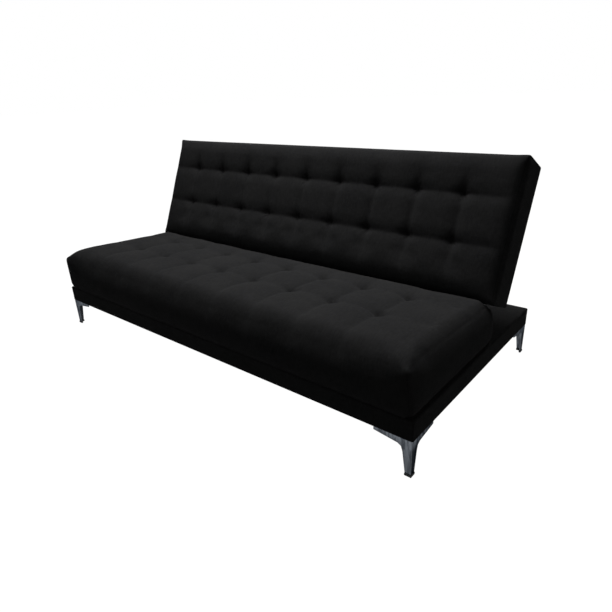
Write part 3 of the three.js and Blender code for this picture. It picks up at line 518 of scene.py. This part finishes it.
# Where a point of the plain block goes on the padded form, before the cloth swells.
def padPlace(pad, columns, place):
    low, high = pad["low"], pad["high"]
    x, y, z = place
    side = 1.0 if x > 0 else -1.0
    fromEnd = max(0.0, high.x - abs(x))
    fromFront, fromRear = max(0.0, y - low.y), max(0.0, high.y - y)
    frontward = fromFront < fromRear
    fromLong = fromFront if frontward else fromRear
    height = min(max((z - low.z) / (high.z - low.z), 0.0), 1.0)
    tight = pad["cornerTightness"][0 if frontward else 1]
    byEnd, byLong = nearness(fromEnd, pad["cornerReach"]), nearness(fromLong, pad["cornerReach"])
    longRoll = pad["frontRoll"] if frontward else pad["rearRoll"]
    rollY, rollZ = (part * (1.0 - tight * byEnd) for part in longRoll)
    rollX, endDrop = (part * (1.0 - tight * byLong) for part in pad["endRoll"])
    depth = max(0.0, high.z - z)
    shareY, upY = fading(fromLong, rollY), fading(depth, rollZ)
    roundY, roundUpY = rounded(shareY, upY)
    shareX, upX = fading(fromEnd, rollX), fading(depth, endDrop)
    roundX, roundUpX = rounded(shareX, upX)
    inward = 1.0 if frontward else -1.0
    y += inward * rollY * (shareY - roundY)
    x -= side * rollX * (shareX - roundX)
    z -= rollZ * (upY - roundUpY) + endDrop * (upX - roundUpX)
    turn = pad["turnRadius"] * (1.0 - padForm["turnTaper"] * height)
    turnX, turnY = fading(fromEnd, turn), fading(fromLong, turn)
    roundTurnX, roundTurnY = rounded(turnX, turnY)
    x -= side * turn * (turnX - roundTurnX)
    y += inward * turn * (turnY - roundTurnY)
    # Crown, then tufts, and the creases and mounds between them.
    reachFront, reachRear, reachEnd = pad["crownReaches"]
    spillFront, spillRear, spillEnd = pad["crownSpills"]
    crownEnd = bulged(fromEnd, reachEnd, spillEnd)
    crownLong = bulged(fromFront, reachFront, spillFront) * bulged(fromRear, reachRear, spillRear)
    endward = fromLong / max(fromEnd + fromLong, tiny)
    spillDrop = pad["endRoll"][1] * endward + longRoll[1] * (1.0 - endward)
    crownLong *= fading(depth, spillDrop)
    behindPeak = max(0.0, fromFront - pad["crownPeak"]) / (high.y - low.y - pad["crownPeak"])
    atCorner = nearness(fromEnd + fromLong, pad["cornerSpan"])
    crownShare = crownEnd * crownLong * (1.0 - pad["crownFall"] * behindPeak) * (1.0 - atCorner)
    rise = pad["crown"] * crownShare
    ear = math.exp(-(fromEnd ** 2 + fromLong ** 2 + depth ** 2) / pad["earReach"] ** 2)
    rise += pad["ear"] * ear * (1.0 if frontward else 0.0)
    byColumn = min(abs(place[0] - column) for column in columns)
    byRow = min(abs(place[1] - row) for row in pad["rows"]) + depth
    if pad["rows"][0] < place[1] < pad["rows"][-1]:
        fade, broaden = 1.0, 1.0
    else:
        beyond = byRow / pad["creaseFades"][0 if frontward else 1]
        fade, broaden = math.exp(-(beyond ** 2)), 1.0 + beyond
    aside = math.hypot(byColumn / pad["dimpleWide"], byRow / pad["dimpleLong"])
    skirt = fading(math.hypot(byColumn, byRow), padForm["skirtReach"]) ** 2
    spot = math.exp(-(aside ** padForm["foldPower"])) + pad["dimpleSkirt"] * skirt
    columnDip = fade * creased(byColumn, pad["creaseWidth"] * broaden, pad["moundReach"], pad["columnDips"])
    nearColumn = nearness(byColumn, pad["rowFoldReach"])
    rowFolds = (pad["rowDips"][0] * nearColumn, pad["rowDips"][1])
    rowDip = creased(byRow, pad["creaseWidth"], pad["moundReach"], rowFolds)
    dip = eased(fromEnd / pad["endFade"]) * (pad["dimple"] * spot + columnDip)
    dip += eased(fromEnd / pad["rowEndFade"]) * rowDip
    facing = roundY if frontward else 0.0
    z += rise - dip * (1.0 - padForm["frontSoftening"] * facing)
    y += dip * padForm["frontPush"] * facing
    # Sides lean in to the top corners and are drawn under at the foot.
    x -= side * pad["lean"] * height * fading(fromEnd, padForm["leanReach"]) ** 2
    foot = nearness(height, pad["footHeight"])
    x -= side * pad["footTuck"] * foot * eased(1.0 - fromEnd / padForm["tuckReach"])
    y += inward * pad["footTuck"] * foot * eased(1.0 - fromLong / padForm["tuckReach"])
    # The cloth is never quite even.
    sway = noise.noise(Vector(place) * padForm["swayScale"]) * pad["unevenness"]
    return Vector((x, y, z + sway * height))


clothSettings = dict(
    quality=5, mass=0.3, tension_stiffness=40.0, compression_stiffness=40.0, shear_stiffness=12.0,
    bending_stiffness=4.0, use_pressure=True, uniform_pressure_force=2.2, vertex_group_mass="held",
)
swelling = dict(frames=16, cap=0.014, evenings=6, evening=0.6)


# Lets the cloth swell under pressure from inside while its tufts and foot are held.
def swell(piece, held):
    before = [vertex.co.copy() for vertex in piece.data.vertices]
    group = piece.vertex_groups.new(name="held")
    for index, weight in held.items():
        group.add([index], weight, "REPLACE")
    modifier = piece.modifiers.new("swell", "CLOTH")
    for name, value in clothSettings.items():
        setattr(modifier.settings, name, value)
    modifier.settings.effector_weights.gravity = 0.0
    modifier.collision_settings.use_collision = False
    modifier.point_cache.frame_start = 1
    modifier.point_cache.frame_end = swelling["frames"]
    for number in range(1, swelling["frames"] + 1):
        scene.frame_set(number)
    evaluated = piece.evaluated_get(bpy.context.evaluated_depsgraph_get())
    after = [vertex.co.copy() for vertex in evaluated.data.vertices]
    piece.modifiers.remove(modifier)
    piece.vertex_groups.remove(group)
    scene.frame_set(1)
    moves = [end - start for start, end in zip(before, after)]
    furthest = max(move.length for move in moves)
    moves = [move * min(1.0, swelling["cap"] / max(move.length, 1e-9)) for move in moves]
    # Evens out the moves, so that the swelling stays and its small buckles go.
    neighbours = [[] for _ in moves]
    for edge in piece.data.edges:
        first, second = edge.vertices
        neighbours[first].append(second)
        neighbours[second].append(first)
    for _ in range(swelling["evenings"]):
        moves = [
            move.lerp(sum((moves[i] for i in near), Vector()) / len(near), swelling["evening"]) if near else move
            for move, near in zip(moves, neighbours)
        ]
    for vertex, start, move in zip(piece.data.vertices, before, moves):
        vertex.co = start + move
    print(piece.name, "swelled, furthest", round(furthest * 1000, 1), "mm")


clearing = dict(search=0.08, margin=0.0015)


# Pushes a pad's points out of another, which may stand elsewhere in its swing.
def clearOf(piece, other, place):
    bm = bmesh.new()
    bm.from_mesh(other.data)
    bmesh.ops.transform(bm, matrix=place, verts=bm.verts)
    bm.normal_update()
    tree = BVHTree.FromBMesh(bm)
    moved = 0
    for vertex in piece.data.vertices:
        near, normal, _, distance = tree.find_nearest(vertex.co, clearing["search"])
        if near is None:
            continue
        outside = (vertex.co - near).dot(normal) >= 0.0
        if outside and distance >= clearing["margin"]:
            continue
        vertex.co = near + normal * clearing["margin"]
        moved += 1
    bm.free()
    print(piece.name, moved, "points cleared")


def refine(piece):
    modifier = piece.modifiers.new("refine", "SUBSURF")
    modifier.levels = modifier.render_levels = 1
    evaluated = piece.evaluated_get(bpy.context.evaluated_depsgraph_get())
    mesh = bpy.data.meshes.new_from_object(evaluated)
    piece.modifiers.remove(modifier)
    old = piece.data
    piece.data = mesh
    bpy.data.meshes.remove(old)
    mesh.name = piece.name


slotSolvers = (("EXACT", False), ("EXACT", True), ("FAST", False))
leastKept = 0.9


# Cuts the narrow slots that the hinges stand in.
def cutSlots(piece, blocks, place=None):
    bm = bmesh.new()
    for low, high in blocks:
        for side in (-1.0, 1.0):
            made = bmesh.ops.create_cube(bm, size=1.0)["verts"]
            bmesh.ops.scale(bm, vec=[b - a for a, b in zip(low, high)], verts=made)
            middle = [(a + b) / 2 for a, b in zip(low, high)]
            bmesh.ops.translate(bm, vec=(side * middle[0], middle[1], middle[2]), verts=made)
    if place:
        bmesh.ops.transform(bm, matrix=place, verts=bm.verts)
    cutter = linked(bm, "cutter")
    block = cutter.data
    modifier = piece.modifiers.new("slots", "BOOLEAN")
    modifier.operation = "DIFFERENCE"
    modifier.object = cutter
    # Either solver can lose the whole pad where its cloth folds on itself, so the result is looked at.
    for solver, crossing in slotSolvers:
        modifier.solver = solver
        modifier.use_self = crossing
        evaluated = piece.evaluated_get(bpy.context.evaluated_depsgraph_get())
        made = bpy.data.meshes.new_from_object(evaluated)
        if len(made.vertices) > leastKept * len(piece.data.vertices):
            break
        print(piece.name, "slots tried again after", solver)
        bpy.data.meshes.remove(made)
        made = piece.data.copy()
    piece.modifiers.remove(modifier)
    old = piece.data
    piece.data = made
    made.name = piece.name
    bpy.data.meshes.remove(old)
    bpy.data.objects.remove(cutter)
    bpy.data.meshes.remove(block)


holding = dict(foot=0.02, top=0.98, radius=0.010)


# How firmly a point of the plain block is held while the cloth swells.
def heldWeight(pad, columns, place):
    low, high = pad["low"], pad["high"]
    fromEnd, fromLong = fromEdges(low, high, place)
    height = (place.z - low.z) / (high.z - low.z)
    weight = 0.0
    if height < holding["foot"]:
        weight = 1.0
    elif height > holding["top"]:
        byColumn = min(abs(place.x - column) for column in columns)
        byRow = min(abs(place.y - row) for row in pad["rows"])
        if math.hypot(byColumn, byRow) < holding["radius"]:
            weight = 1.0
        elif byRow < holding["radius"]:
            weight = pad["rowHold"]
        elif byColumn < holding["radius"] and pad["rows"][0] < place.y < pad["rows"][-1]:
            weight = pad["columnHold"]
    atEnd, atLong = fromEnd < onEdge, fromLong < onEdge
    if atEnd or atLong:
        drop = min(1.0, (high.z - place.z) / pad["sideSettle"])
        weight = max(weight, 1.0 if atEnd and atLong else 0.0, pad["sideHold"] * drop)
    return weight


def makePad(pad, name, body, node, place=None, clearances=()):
    columns = columnPlaces(pad)
    bm = slabBlock(pad["low"], pad["high"], pad["cuts"])
    openBelow(bm)
    seamAway = bm.verts.layers.float.new("seamAway")
    fromTuft = bm.verts.layers.float_vector.new("fromTuft")
    bm.verts.index_update()
    held = {}
    for vertex in bm.verts:
        weight = heldWeight(pad, columns, vertex.co)
        if weight > 0.0:
            held[vertex.index] = weight
        x, y, z = vertex.co
        fromEnd, fromLong = fromEdges(pad["low"], pad["high"], vertex.co)
        vertex[seamAway] = pad["seam"](fromEnd, fromLong, pad["high"].z - z)
        column = min(columns, key=lambda value: abs(value - x))
        row = min(pad["rows"], key=lambda value: abs(value - y))
        vertex[fromTuft] = (x - column, abs(y - row) + pad["high"].z - z, 0.0)
        vertex.co = padPlace(pad, columns, vertex.co.copy())
    piece = finished(bm, name, blackCloth, body)
    swell(piece, held)
    for other, stance in clearances:
        clearOf(piece, other, stance)
    refine(piece)
    bm = bmesh.new()
    bm.from_mesh(piece.data)
    if place:
        bmesh.ops.transform(bm, matrix=place, verts=bm.verts)
    bmesh.ops.holes_fill(bm, edges=[e for e in bm.edges if e.is_boundary], sides=0)
    underneath = [f for f in bm.faces if len(f.verts) > 4]
    if pad["recess"]:
        border, sunk = pad["recess"]
        bmesh.ops.inset_region(bm, faces=underneath, thickness=border, depth=-sunk, use_even_offset=True)
    bm.to_mesh(piece.data)
    bm.free()
    cutSlots(piece, pad["slots"], place)
    piece.data.polygons.foreach_set("use_smooth", [True] * len(piece.data.polygons))
    piece.data.set_sharp_from_angle(angle=math.radians(sharpAngles["pad"]))
    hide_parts(node)
    print(name, len(piece.data.vertices), "vertices")
    return piece


# The seat's cloth is stitched at its upright corners, the back's all round its end panels. Along each seam's fold the
# colour is darkened as painted shade.
cornerSeamTop = 0.012


def cornerSeam(fromEnd, fromLong, depth):
    return 1.0 if depth < cornerSeamTop else max(fromEnd, fromLong)


def panelSeam(fromEnd, fromLong, depth):
    return min(fromLong, depth) if fromEnd < onEdge else fromEnd


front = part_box("base_cover")[0].y
seatPad = dict(
    low=Vector((-0.945, front - 0.007, 0.1968)), high=Vector((0.945, front + 0.610, 0.3483)),
    cuts=(224, 74, 18), columns=10, endMargin=0.07, rows=(front + 0.250, front + 0.454),
    seam=cornerSeam,
    frontRoll=(0.080, 0.115), rearRoll=(0.040, 0.045), endRoll=(0.056, 0.085), turnRadius=0.034,
    cornerTightness=(0.85, 0.1), cornerReach=0.08, lean=0.017, footTuck=0.008, footHeight=0.09,
    crown=0.0385, crownReaches=(0.095, 0.06, 0.095), crownSpills=(0.05, 0.0, 0.05), cornerSpan=0.045,
    crownPeak=0.14, crownFall=0.95, ear=0.006, earReach=0.02,
    dimple=0.016, dimpleWide=0.024, dimpleLong=0.016, dimpleSkirt=0.3, columnDips=(0.005, 0.009),
    rowDips=(0.001, 0.005), rowFoldReach=0.06, creaseWidth=0.009, moundReach=0.075, creaseFades=(0.26, 0.08),
    endFade=0.25, rowEndFade=0.26, rowHold=0.0, columnHold=0.0, sideHold=0.0, sideSettle=0.1,
    unevenness=0.0015, fill=0.75, recess=None,
    slots=[((0.8598, pivot.y - 0.026, pivot.z - 0.037), (0.8849, 0.2, 0.45))],
)
backPad = dict(
    low=Vector((-0.9375, 0.024, -0.0988)), high=Vector((0.9375, 0.549, 0.052)),
    cuts=(222, 64, 18), columns=9, endMargin=0.198, rows=(0.219, 0.395),
    seam=panelSeam,
    frontRoll=(0.024, 0.024), rearRoll=(0.018, 0.016), endRoll=(0.040, 0.026), turnRadius=0.004,
    cornerTightness=(0.6, 0.8), cornerReach=0.03, lean=0.0, footTuck=0.0, footHeight=0.05,
    crown=0.018, crownReaches=(0.08, 0.07, 0.08), crownSpills=(0.012, 0.012, 0.012), cornerSpan=0.02,
    crownPeak=0.14, crownFall=0.0, ear=0.0, earReach=0.02,
    dimple=0.007, dimpleWide=0.022, dimpleLong=0.018, dimpleSkirt=0.4, columnDips=(0.0045, 0.008),
    rowDips=(0.004, 0.006), rowFoldReach=0.05, creaseWidth=0.009, moundReach=0.055, creaseFades=(0.125, 0.055),
    endFade=0.12, rowEndFade=0.07, rowHold=0.2, columnHold=0.2, sideHold=1.0, sideSettle=0.05,
    unevenness=0.001, fill=0.85, recess=(0.0097, 0.0033),
    slots=[((0.8598, 0.0, -0.1508), (0.8849, 0.0443, 0.010))],
)
backCushion = makePad(backPad, "backPad", "back", "back_cushion", uprightPlace)
stances = ((backCushion, Matrix.Identity(4)), (backCushion, forwardPlace))
makePad(seatPad, "seatPad", "base", "seat_cushion", clearances=stances)


# Plinth cover: cloth drawn over the base's boards, folded at the corners.
plinth = dict(cuts=(120, 60, 6), foldAngle=1.0, edge=0.006, segments=4, thickness=0.0026,
              lift=0.0005, liftFade=0.02, rippleScale=14.0)


def makePlinthCover():
    low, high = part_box("base_cover")
    bm = slabBlock(low, high, plinth["cuts"])
    openBelow(bm)
    seamAway = bm.verts.layers.float.new("seamAway")
    fromTuft = bm.verts.layers.float_vector.new("fromTuft")
    for vertex in bm.verts:
        onTop = vertex.co.z > high.z - onEdge
        vertex[seamAway] = 1.0 if onTop else max(fromEdges(low, high, vertex.co))
        vertex[fromTuft] = (1.0, 1.0, 0.0)
    folds = [e for e in bm.edges if len(e.link_faces) == 2 and e.calc_face_angle() > plinth["foldAngle"]]
    easeEdges(bm, folds, plinth["edge"], plinth["segments"])
    bm.normal_update()
    for vertex in bm.verts:
        share = min(1.0, (vertex.co.z - low.z) / plinth["liftFade"])
        uneven = 0.5 + noise.noise(vertex.co * plinth["rippleScale"])
        vertex.co -= vertex.normal * uneven * plinth["lift"] * share
    bmesh.ops.solidify(bm, geom=bm.faces, thickness=plinth["thickness"])
    piece = finished(bm, "plinthCover", blackCloth, "base", sharpAngles["sheet"])
    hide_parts("base_cover")


makePlinthCover()
print("plinth covered")


# Thin lining, tacked around its edge. Between what it lies on it hangs or billows a little.
def makeLining(name, node, body, low, high, cuts, billow, place=None):
    bm = slabBlock(low, high, cuts)
    for vertex in bm.verts:
        vertex.co.z += billow(vertex.co)
    if place:
        bmesh.ops.transform(bm, matrix=place, verts=bm.verts)
    piece = finished(bm, name, blackLining, body, sharpAngles["sheet"])
    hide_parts(node)
    return piece


# The dust cover sags in each bay between the base's cross members.
dust = dict(cuts=(96, 48, 0), bays=(-0.912, -0.473, 0.0, 0.473, 0.912), front=-0.34, length=0.69,
            sag=0.0035, ripple=0.5, rippleScale=9.0,
            tacks=dict(inset=0.012, spacing=0.06, lift=-0.0002, skip=0.16))
dustLow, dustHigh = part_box("base_dust_cover")


def dustSag(place):
    for left, right in zip(dust["bays"], dust["bays"][1:]):
        if left <= place.x <= right:
            across = math.sin(math.pi * (place.x - left) / (right - left))
            along = math.sin(math.pi * min(max((place.y - dust["front"]) / dust["length"], 0.0), 1.0))
            ripple = 1.0 + dust["ripple"] * noise.noise(place * dust["rippleScale"])
            return -dust["sag"] * across * along * ripple
    return 0.0


dustCover = makeLining("dustCover", "base_dust_cover", "base", dustLow, dustHigh, dust["cuts"], dustSag)

rear = dict(low=Vector((-0.9275, 0.0341, -0.0985)), high=Vector((0.9275, 0.5389, -0.0965)), flat=(1.855, 0.5048),
            cuts=(120, 36, 0), billow=0.0009, even=0.6, ripple=0.8, rippleScale=7.0,
            tacks=dict(inset=0.009, spacing=0.055, lift=0.0001, skip=0.03))


def rearBillow(place):
    across = 1.0 - (place.x / rear["high"].x) ** 2
    along = math.sin(math.pi * (place.y - rear["low"].y) / (rear["high"].y - rear["low"].y))
    uneven = rear["even"] + rear["ripple"] * noise.noise(place * rear["rippleScale"])
    return rear["billow"] * across * along * uneven


rearCover = makeLining("rearCover", "back_rear_cover", "back", rear["low"], rear["high"], rear["cuts"],
                       rearBillow, uprightPlace)


# Copies of one small mesh, each at its own spot and turn, joined in one piece.
def repeated(source, name, body, spots, material, place=None):
    mesh = bpy.data.meshes.new("source")
    source.to_mesh(mesh)
    source.free()
    bm = bmesh.new()
    for spot, turn in spots:
        count = len(bm.verts)
        bm.from_mesh(mesh)
        bm.verts.ensure_lookup_table()
        added = bm.verts[count:]
        bmesh.ops.rotate(bm, matrix=Matrix.Rotation(turn, 3, "Z"), verts=added)
        bmesh.ops.translate(bm, vec=spot, verts=added)
    bpy.data.meshes.remove(mesh)
    if place:
        bmesh.ops.transform(bm, matrix=place, verts=bm.verts)
    finished(bm, name, material, body, sharpAngles["hard"])


# A staple is a flat wire whose ends go in.
wire = dict(size=(0.011, 0.0011, 0.0008), edge=0.0003, uneven=0.0002)


def staple():
    bm = bmesh.new()
    bmesh.ops.create_cube(bm, size=1.0)
    bmesh.ops.scale(bm, vec=wire["size"], verts=bm.verts)
    easeEdges(bm, bm.edges[:], wire["edge"])
    return bm


# Two rows of staples along a lining's length and two across it, each row set in from the edge.
def tackPlaces(low, high, tacks):
    inset, skip, level = tacks["inset"], tacks["skip"], low.z + tacks["lift"]
    places = []
    for axis in (0, 1):
        other = 1 - axis
        span = high[axis] - low[axis] - 2 * skip
        count = round(span / tacks["spacing"])
        for i in range(count + 1):
            along = low[axis] + skip + span * i / count
            for across in (low[other] + inset, high[other] - inset):
                spot = [0.0, 0.0, level + wire["uneven"] * noise.noise(Vector((along, across, 3.0)))]
                spot[axis], spot[other] = along, across
                places.append((Vector(spot), axis * math.pi / 2))
    return places


dustSpots = tackPlaces(dustLow, dustHigh, dust["tacks"])
rearSpots = tackPlaces(rear["low"], rear["high"], rear["tacks"])
repeated(staple(), "dustStaples", "base", dustSpots, zincPlate)
repeated(staple(), "rearStaples", "back", rearSpots, zincPlate, uprightPlace)


# Pan-head screw with a six-sided socket, its head down. The outline gives radius and depth from the head's top.
panHead = dict(
    outline=((0.0028, 0.0), (0.0036, 0.0001), (0.0044, 0.0007), (0.0049, 0.0016), (0.005, 0.0024), (0.005, 0.0028)),
    height=0.0028, steps=24, socketLevel=0.0027, socketRadius=0.0021, socketDepth=0.0016,
)


def screwHead():
    bm = bmesh.new()
    ring = [bm.verts.new((radius, 0.0, rise - panHead["height"])) for radius, rise in panHead["outline"]]
    edges = [bm.edges.new(pair) for pair in zip(ring, ring[1:])]
    bmesh.ops.spin(bm, geom=ring + edges, cent=(0, 0, 0), axis=(0, 0, 1), angle=2 * math.pi,
                   steps=panHead["steps"], use_merge=True)

    def drawnIn(level):
        rim = [e for e in bm.edges if e.is_boundary and all(abs(v.co.z - level) < tiny for v in e.verts)]
        made = bmesh.ops.extrude_edge_only(bm, edges=rim)["geom"]
        return [v for v in made if isinstance(v, bmesh.types.BMVert)]

    for vertex in drawnIn(-panHead["height"]):
        angle = math.atan2(vertex.co.y, vertex.co.x) % (math.pi / 3) - math.pi / 6
        outward = Vector((vertex.co.x, vertex.co.y, 0.0)).normalized()
        flat = outward * panHead["socketRadius"] / math.cos(angle)
        vertex.co = flat + Vector((0, 0, -panHead["socketLevel"]))
    deep = drawnIn(-panHead["socketLevel"])
    bmesh.ops.translate(bm, vec=(0, 0, panHead["socketDepth"]), verts=deep)
    bmesh.ops.holes_fill(bm, edges=[e for e in bm.edges if e.is_boundary], sides=0)
    bmesh.ops.recalc_face_normals(bm, faces=bm.faces)
    return bm


corners = {name: name.title().replace("_", "") for name in ("front_left", "front_right", "rear_left", "rear_right")}
legScrews = dict(level=0.124, places=((0.105, 0.015), (0.015, 0.105), (0.040, 0.040)), turn=0.4)
for corner, label in corners.items():
    legLow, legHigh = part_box("leg_" + corner)
    sideX = 1 if "right" in corner else -1
    sideY = 1 if "rear" in corner else -1
    cornerX = legHigh.x if sideX > 0 else legLow.x
    cornerY = legHigh.y if sideY > 0 else legLow.y
    spots = [(Vector((cornerX - sideX * x, cornerY - sideY * y, legScrews["level"])), legScrews["turn"] * i)
             for i, (x, y) in enumerate(legScrews["places"])]
    repeated(screwHead(), "screws" + label, "base", spots, zincPlate)
print("linings, staples and screws made")


# Hard pieces: the solids with their arrises eased. Flat and arris are angles between faces, in degrees.
easing = dict(merge=0.00002, flat=3, arris=28)


def dressedNode(node, name, material, body, edge):
    bm = bmesh.new()
    bm.from_mesh(nodes[node].data)
    bmesh.ops.remove_doubles(bm, verts=bm.verts, dist=easing["merge"])
    bmesh.ops.dissolve_limit(bm, angle_limit=math.radians(easing["flat"]), verts=bm.verts, edges=bm.edges)
    arrises = [e for e in bm.edges if e.is_manifold and e.calc_face_angle() > math.radians(easing["arris"])]
    rim = bm.faces.layers.float.new("rim")
    eased = easeEdges(bm, arrises, edge)
    for face in bm.faces:
        face[rim] = 0.0
    for face in eased:
        face[rim] = 1.0
    bmesh.ops.triangulate(bm, faces=[f for f in bm.faces if len(f.verts) > 4])
    piece = finished(bm, name, material, body, sharpAngles["hard"])
    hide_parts(node)


for corner, label in corners.items():
    dressedNode("leg_" + corner, "leg" + label, gunmetal, "base", 0.0006)
    dressedNode("leg_glide_" + corner, "glide" + label, blackPlastic, "base", 0.0005)
for side in ("left", "right"):
    label = side.capitalize()
    hingeParts = [
        ("seat_plate", "seatPlate" + label, "base", 0.0004),
        ("back_arm", "backArm" + label, "back", 0.0004),
        ("pawl", "pawl" + label, "pawl_" + side, 0.0003),
        ("pivot_bolt", "pivotBolt" + label, "base", 0.0003),
        ("pivot_nut", "pivotNut" + label, "base", 0.0003),
        ("pawl_pin", "pawlPin" + label, "back", 0.0003),
    ]
    for number in ("1", "2"):
        hingeParts.append(("seat_screw_" + number, "seatScrew" + label + number, "base", 0.0003))
        hingeParts.append(("arm_screw_" + number, "armScrew" + label + number, "back", 0.0003))
    for node, name, body, edge in hingeParts:
        dressedNode(f"hinge_{side}_{node}", name, blackSteel, body, edge)
print("hard pieces dressed")

# The solids that stay in sight as they are, such as the frames' boards.
timberWords = ("_rail", "cross_member", "stile", "panel")
for name, node in nodes.items():
    if node.hide_render:
        continue
    if any(word in name for word in timberWords):
        size = [high - low for low, high in zip(*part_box(name))]
        chosen = timberAlongX if size[0] > size[1] else timberAlongY
    elif "cover" in name:
        chosen = blackLining
    else:
        chosen = zincPlate
    node.data.materials.clear()
    node.data.materials.append(chosen)


# Floor, light and camera
studio = dict(floorSize=40.0, floorGrey=0.25, floorGlow=1.3, floorSeen=0.78, floorMirrored=0.12,
              ambient=0.034, backdrop=1.0)


def mixShader(tree, factor, first, second):
    node = addNode(tree, "MixShader")
    for socket, value in zip(node.inputs, (factor, first, second)):
        tree.links.new(value, socket)
    return node.outputs[0]


def makeFloor():
    bm = bmesh.new()
    bmesh.ops.create_grid(bm, x_segments=1, y_segments=1, size=studio["floorSize"])
    floor = linked(bm, "floor")
    material = bpy.data.materials.new("paleFloor")
    material.use_nodes = True
    tree = material.node_tree
    tree.nodes.clear()
    diffuse = addNode(tree, "BsdfDiffuse", Color=(studio["floorGrey"],) * 3 + (1.0,))
    glow = addNode(tree, "Emission", Strength=studio["floorGlow"])
    clear = addNode(tree, "BsdfTransparent")
    rays = addNode(tree, "LightPath")
    seen = mathNode(tree, "ADD", times(tree, rays.outputs["Is Camera Ray"], studio["floorSeen"]),
                    times(tree, rays.outputs["Is Glossy Ray"], studio["floorMirrored"]))
    lit = mixShader(tree, seen, diffuse.outputs[0], glow.outputs[0])
    below = addNode(tree, "NewGeometry").outputs["Backfacing"]
    output = addNode(tree, "OutputMaterial")
    tree.links.new(mixShader(tree, below, lit, clear.outputs[0]), output.inputs[0])
    floor.data.materials.append(material)


def makeWorld():
    world = bpy.data.worlds.new("studio")
    scene.world = world
    world.use_nodes = True
    tree = world.node_tree
    tree.nodes.clear()
    rays = addNode(tree, "LightPath")
    mirrored = mathNode(tree, "MAXIMUM", rays.outputs["Is Glossy Ray"], rays.outputs["Is Transmission Ray"])
    shown = mathNode(tree, "MAXIMUM", rays.outputs["Is Camera Ray"], mirrored)
    soft = addNode(tree, "Background", Color=(1.0, 1.0, 1.0, 1.0), Strength=studio["ambient"])
    white = addNode(tree, "Background", Color=(1.0, 1.0, 1.0, 1.0), Strength=studio["backdrop"])
    output = addNode(tree, "OutputWorld")
    tree.links.new(mixShader(tree, shown, soft.outputs[0], white.outputs[0]), output.inputs[0])


lamps = [
    dict(name="overhead", place=(-0.05, 0.46, 3.0), aim=(0.0, -0.1, 0.3), size=1.6, power=63.5),
    dict(name="rearFill", place=(0.0, 4.2, 0.5), aim=(0.0, 0.3, 0.45), size=1.6, power=18.0),
    dict(name="frontLeft", place=(-2.8, -2.8, 1.8), aim=(0.0, 0.0, 0.4), size=1.4, power=1.3),
]


def makeLamps():
    for lamp in lamps:
        light = bpy.data.lights.new(lamp["name"], "AREA")
        light.shape = "DISK"
        light.size = lamp["size"]
        light.energy = lamp["power"]
        holder = bpy.data.objects.new(lamp["name"], light)
        holder.location = lamp["place"]
        holder.rotation_mode = "QUATERNION"
        holder.rotation_quaternion = (Vector(lamp["aim"]) - Vector(lamp["place"])).to_track_quat("-Z", "Y")
        bpy.context.collection.objects.link(holder)


cameraPlace = dict(place=(1.4900, -1.5467, 1.0593), yaw=0.7052, pitch=0.4043, roll=-0.0442,
                   lens=30.062, sensor=36.0, furthest=50.0)


def makeCamera():
    yaw, pitch, roll = cameraPlace["yaw"], cameraPlace["pitch"], cameraPlace["roll"]
    ahead = Vector((-math.sin(yaw) * math.cos(pitch), math.cos(yaw) * math.cos(pitch), -math.sin(pitch)))
    right = Vector((math.cos(yaw), math.sin(yaw), 0.0))
    up = right.cross(ahead)
    rolledRight = right * math.cos(roll) + up * math.sin(roll)
    rolledUp = up * math.cos(roll) - right * math.sin(roll)
    data = bpy.data.cameras.new("camera")
    data.lens = cameraPlace["lens"]
    data.sensor_width = cameraPlace["sensor"]
    data.clip_end = cameraPlace["furthest"]
    camera = bpy.data.objects.new("camera", data)
    turned = Matrix((rolledRight, rolledUp, -ahead)).transposed()
    camera.matrix_world = Matrix.Translation(cameraPlace["place"]) @ turned.to_4x4()
    bpy.context.collection.objects.link(camera)
    scene.camera = camera


makeFloor()
makeWorld()
makeLamps()
makeCamera()
print("stage set")

bpy.context.view_layer.update()
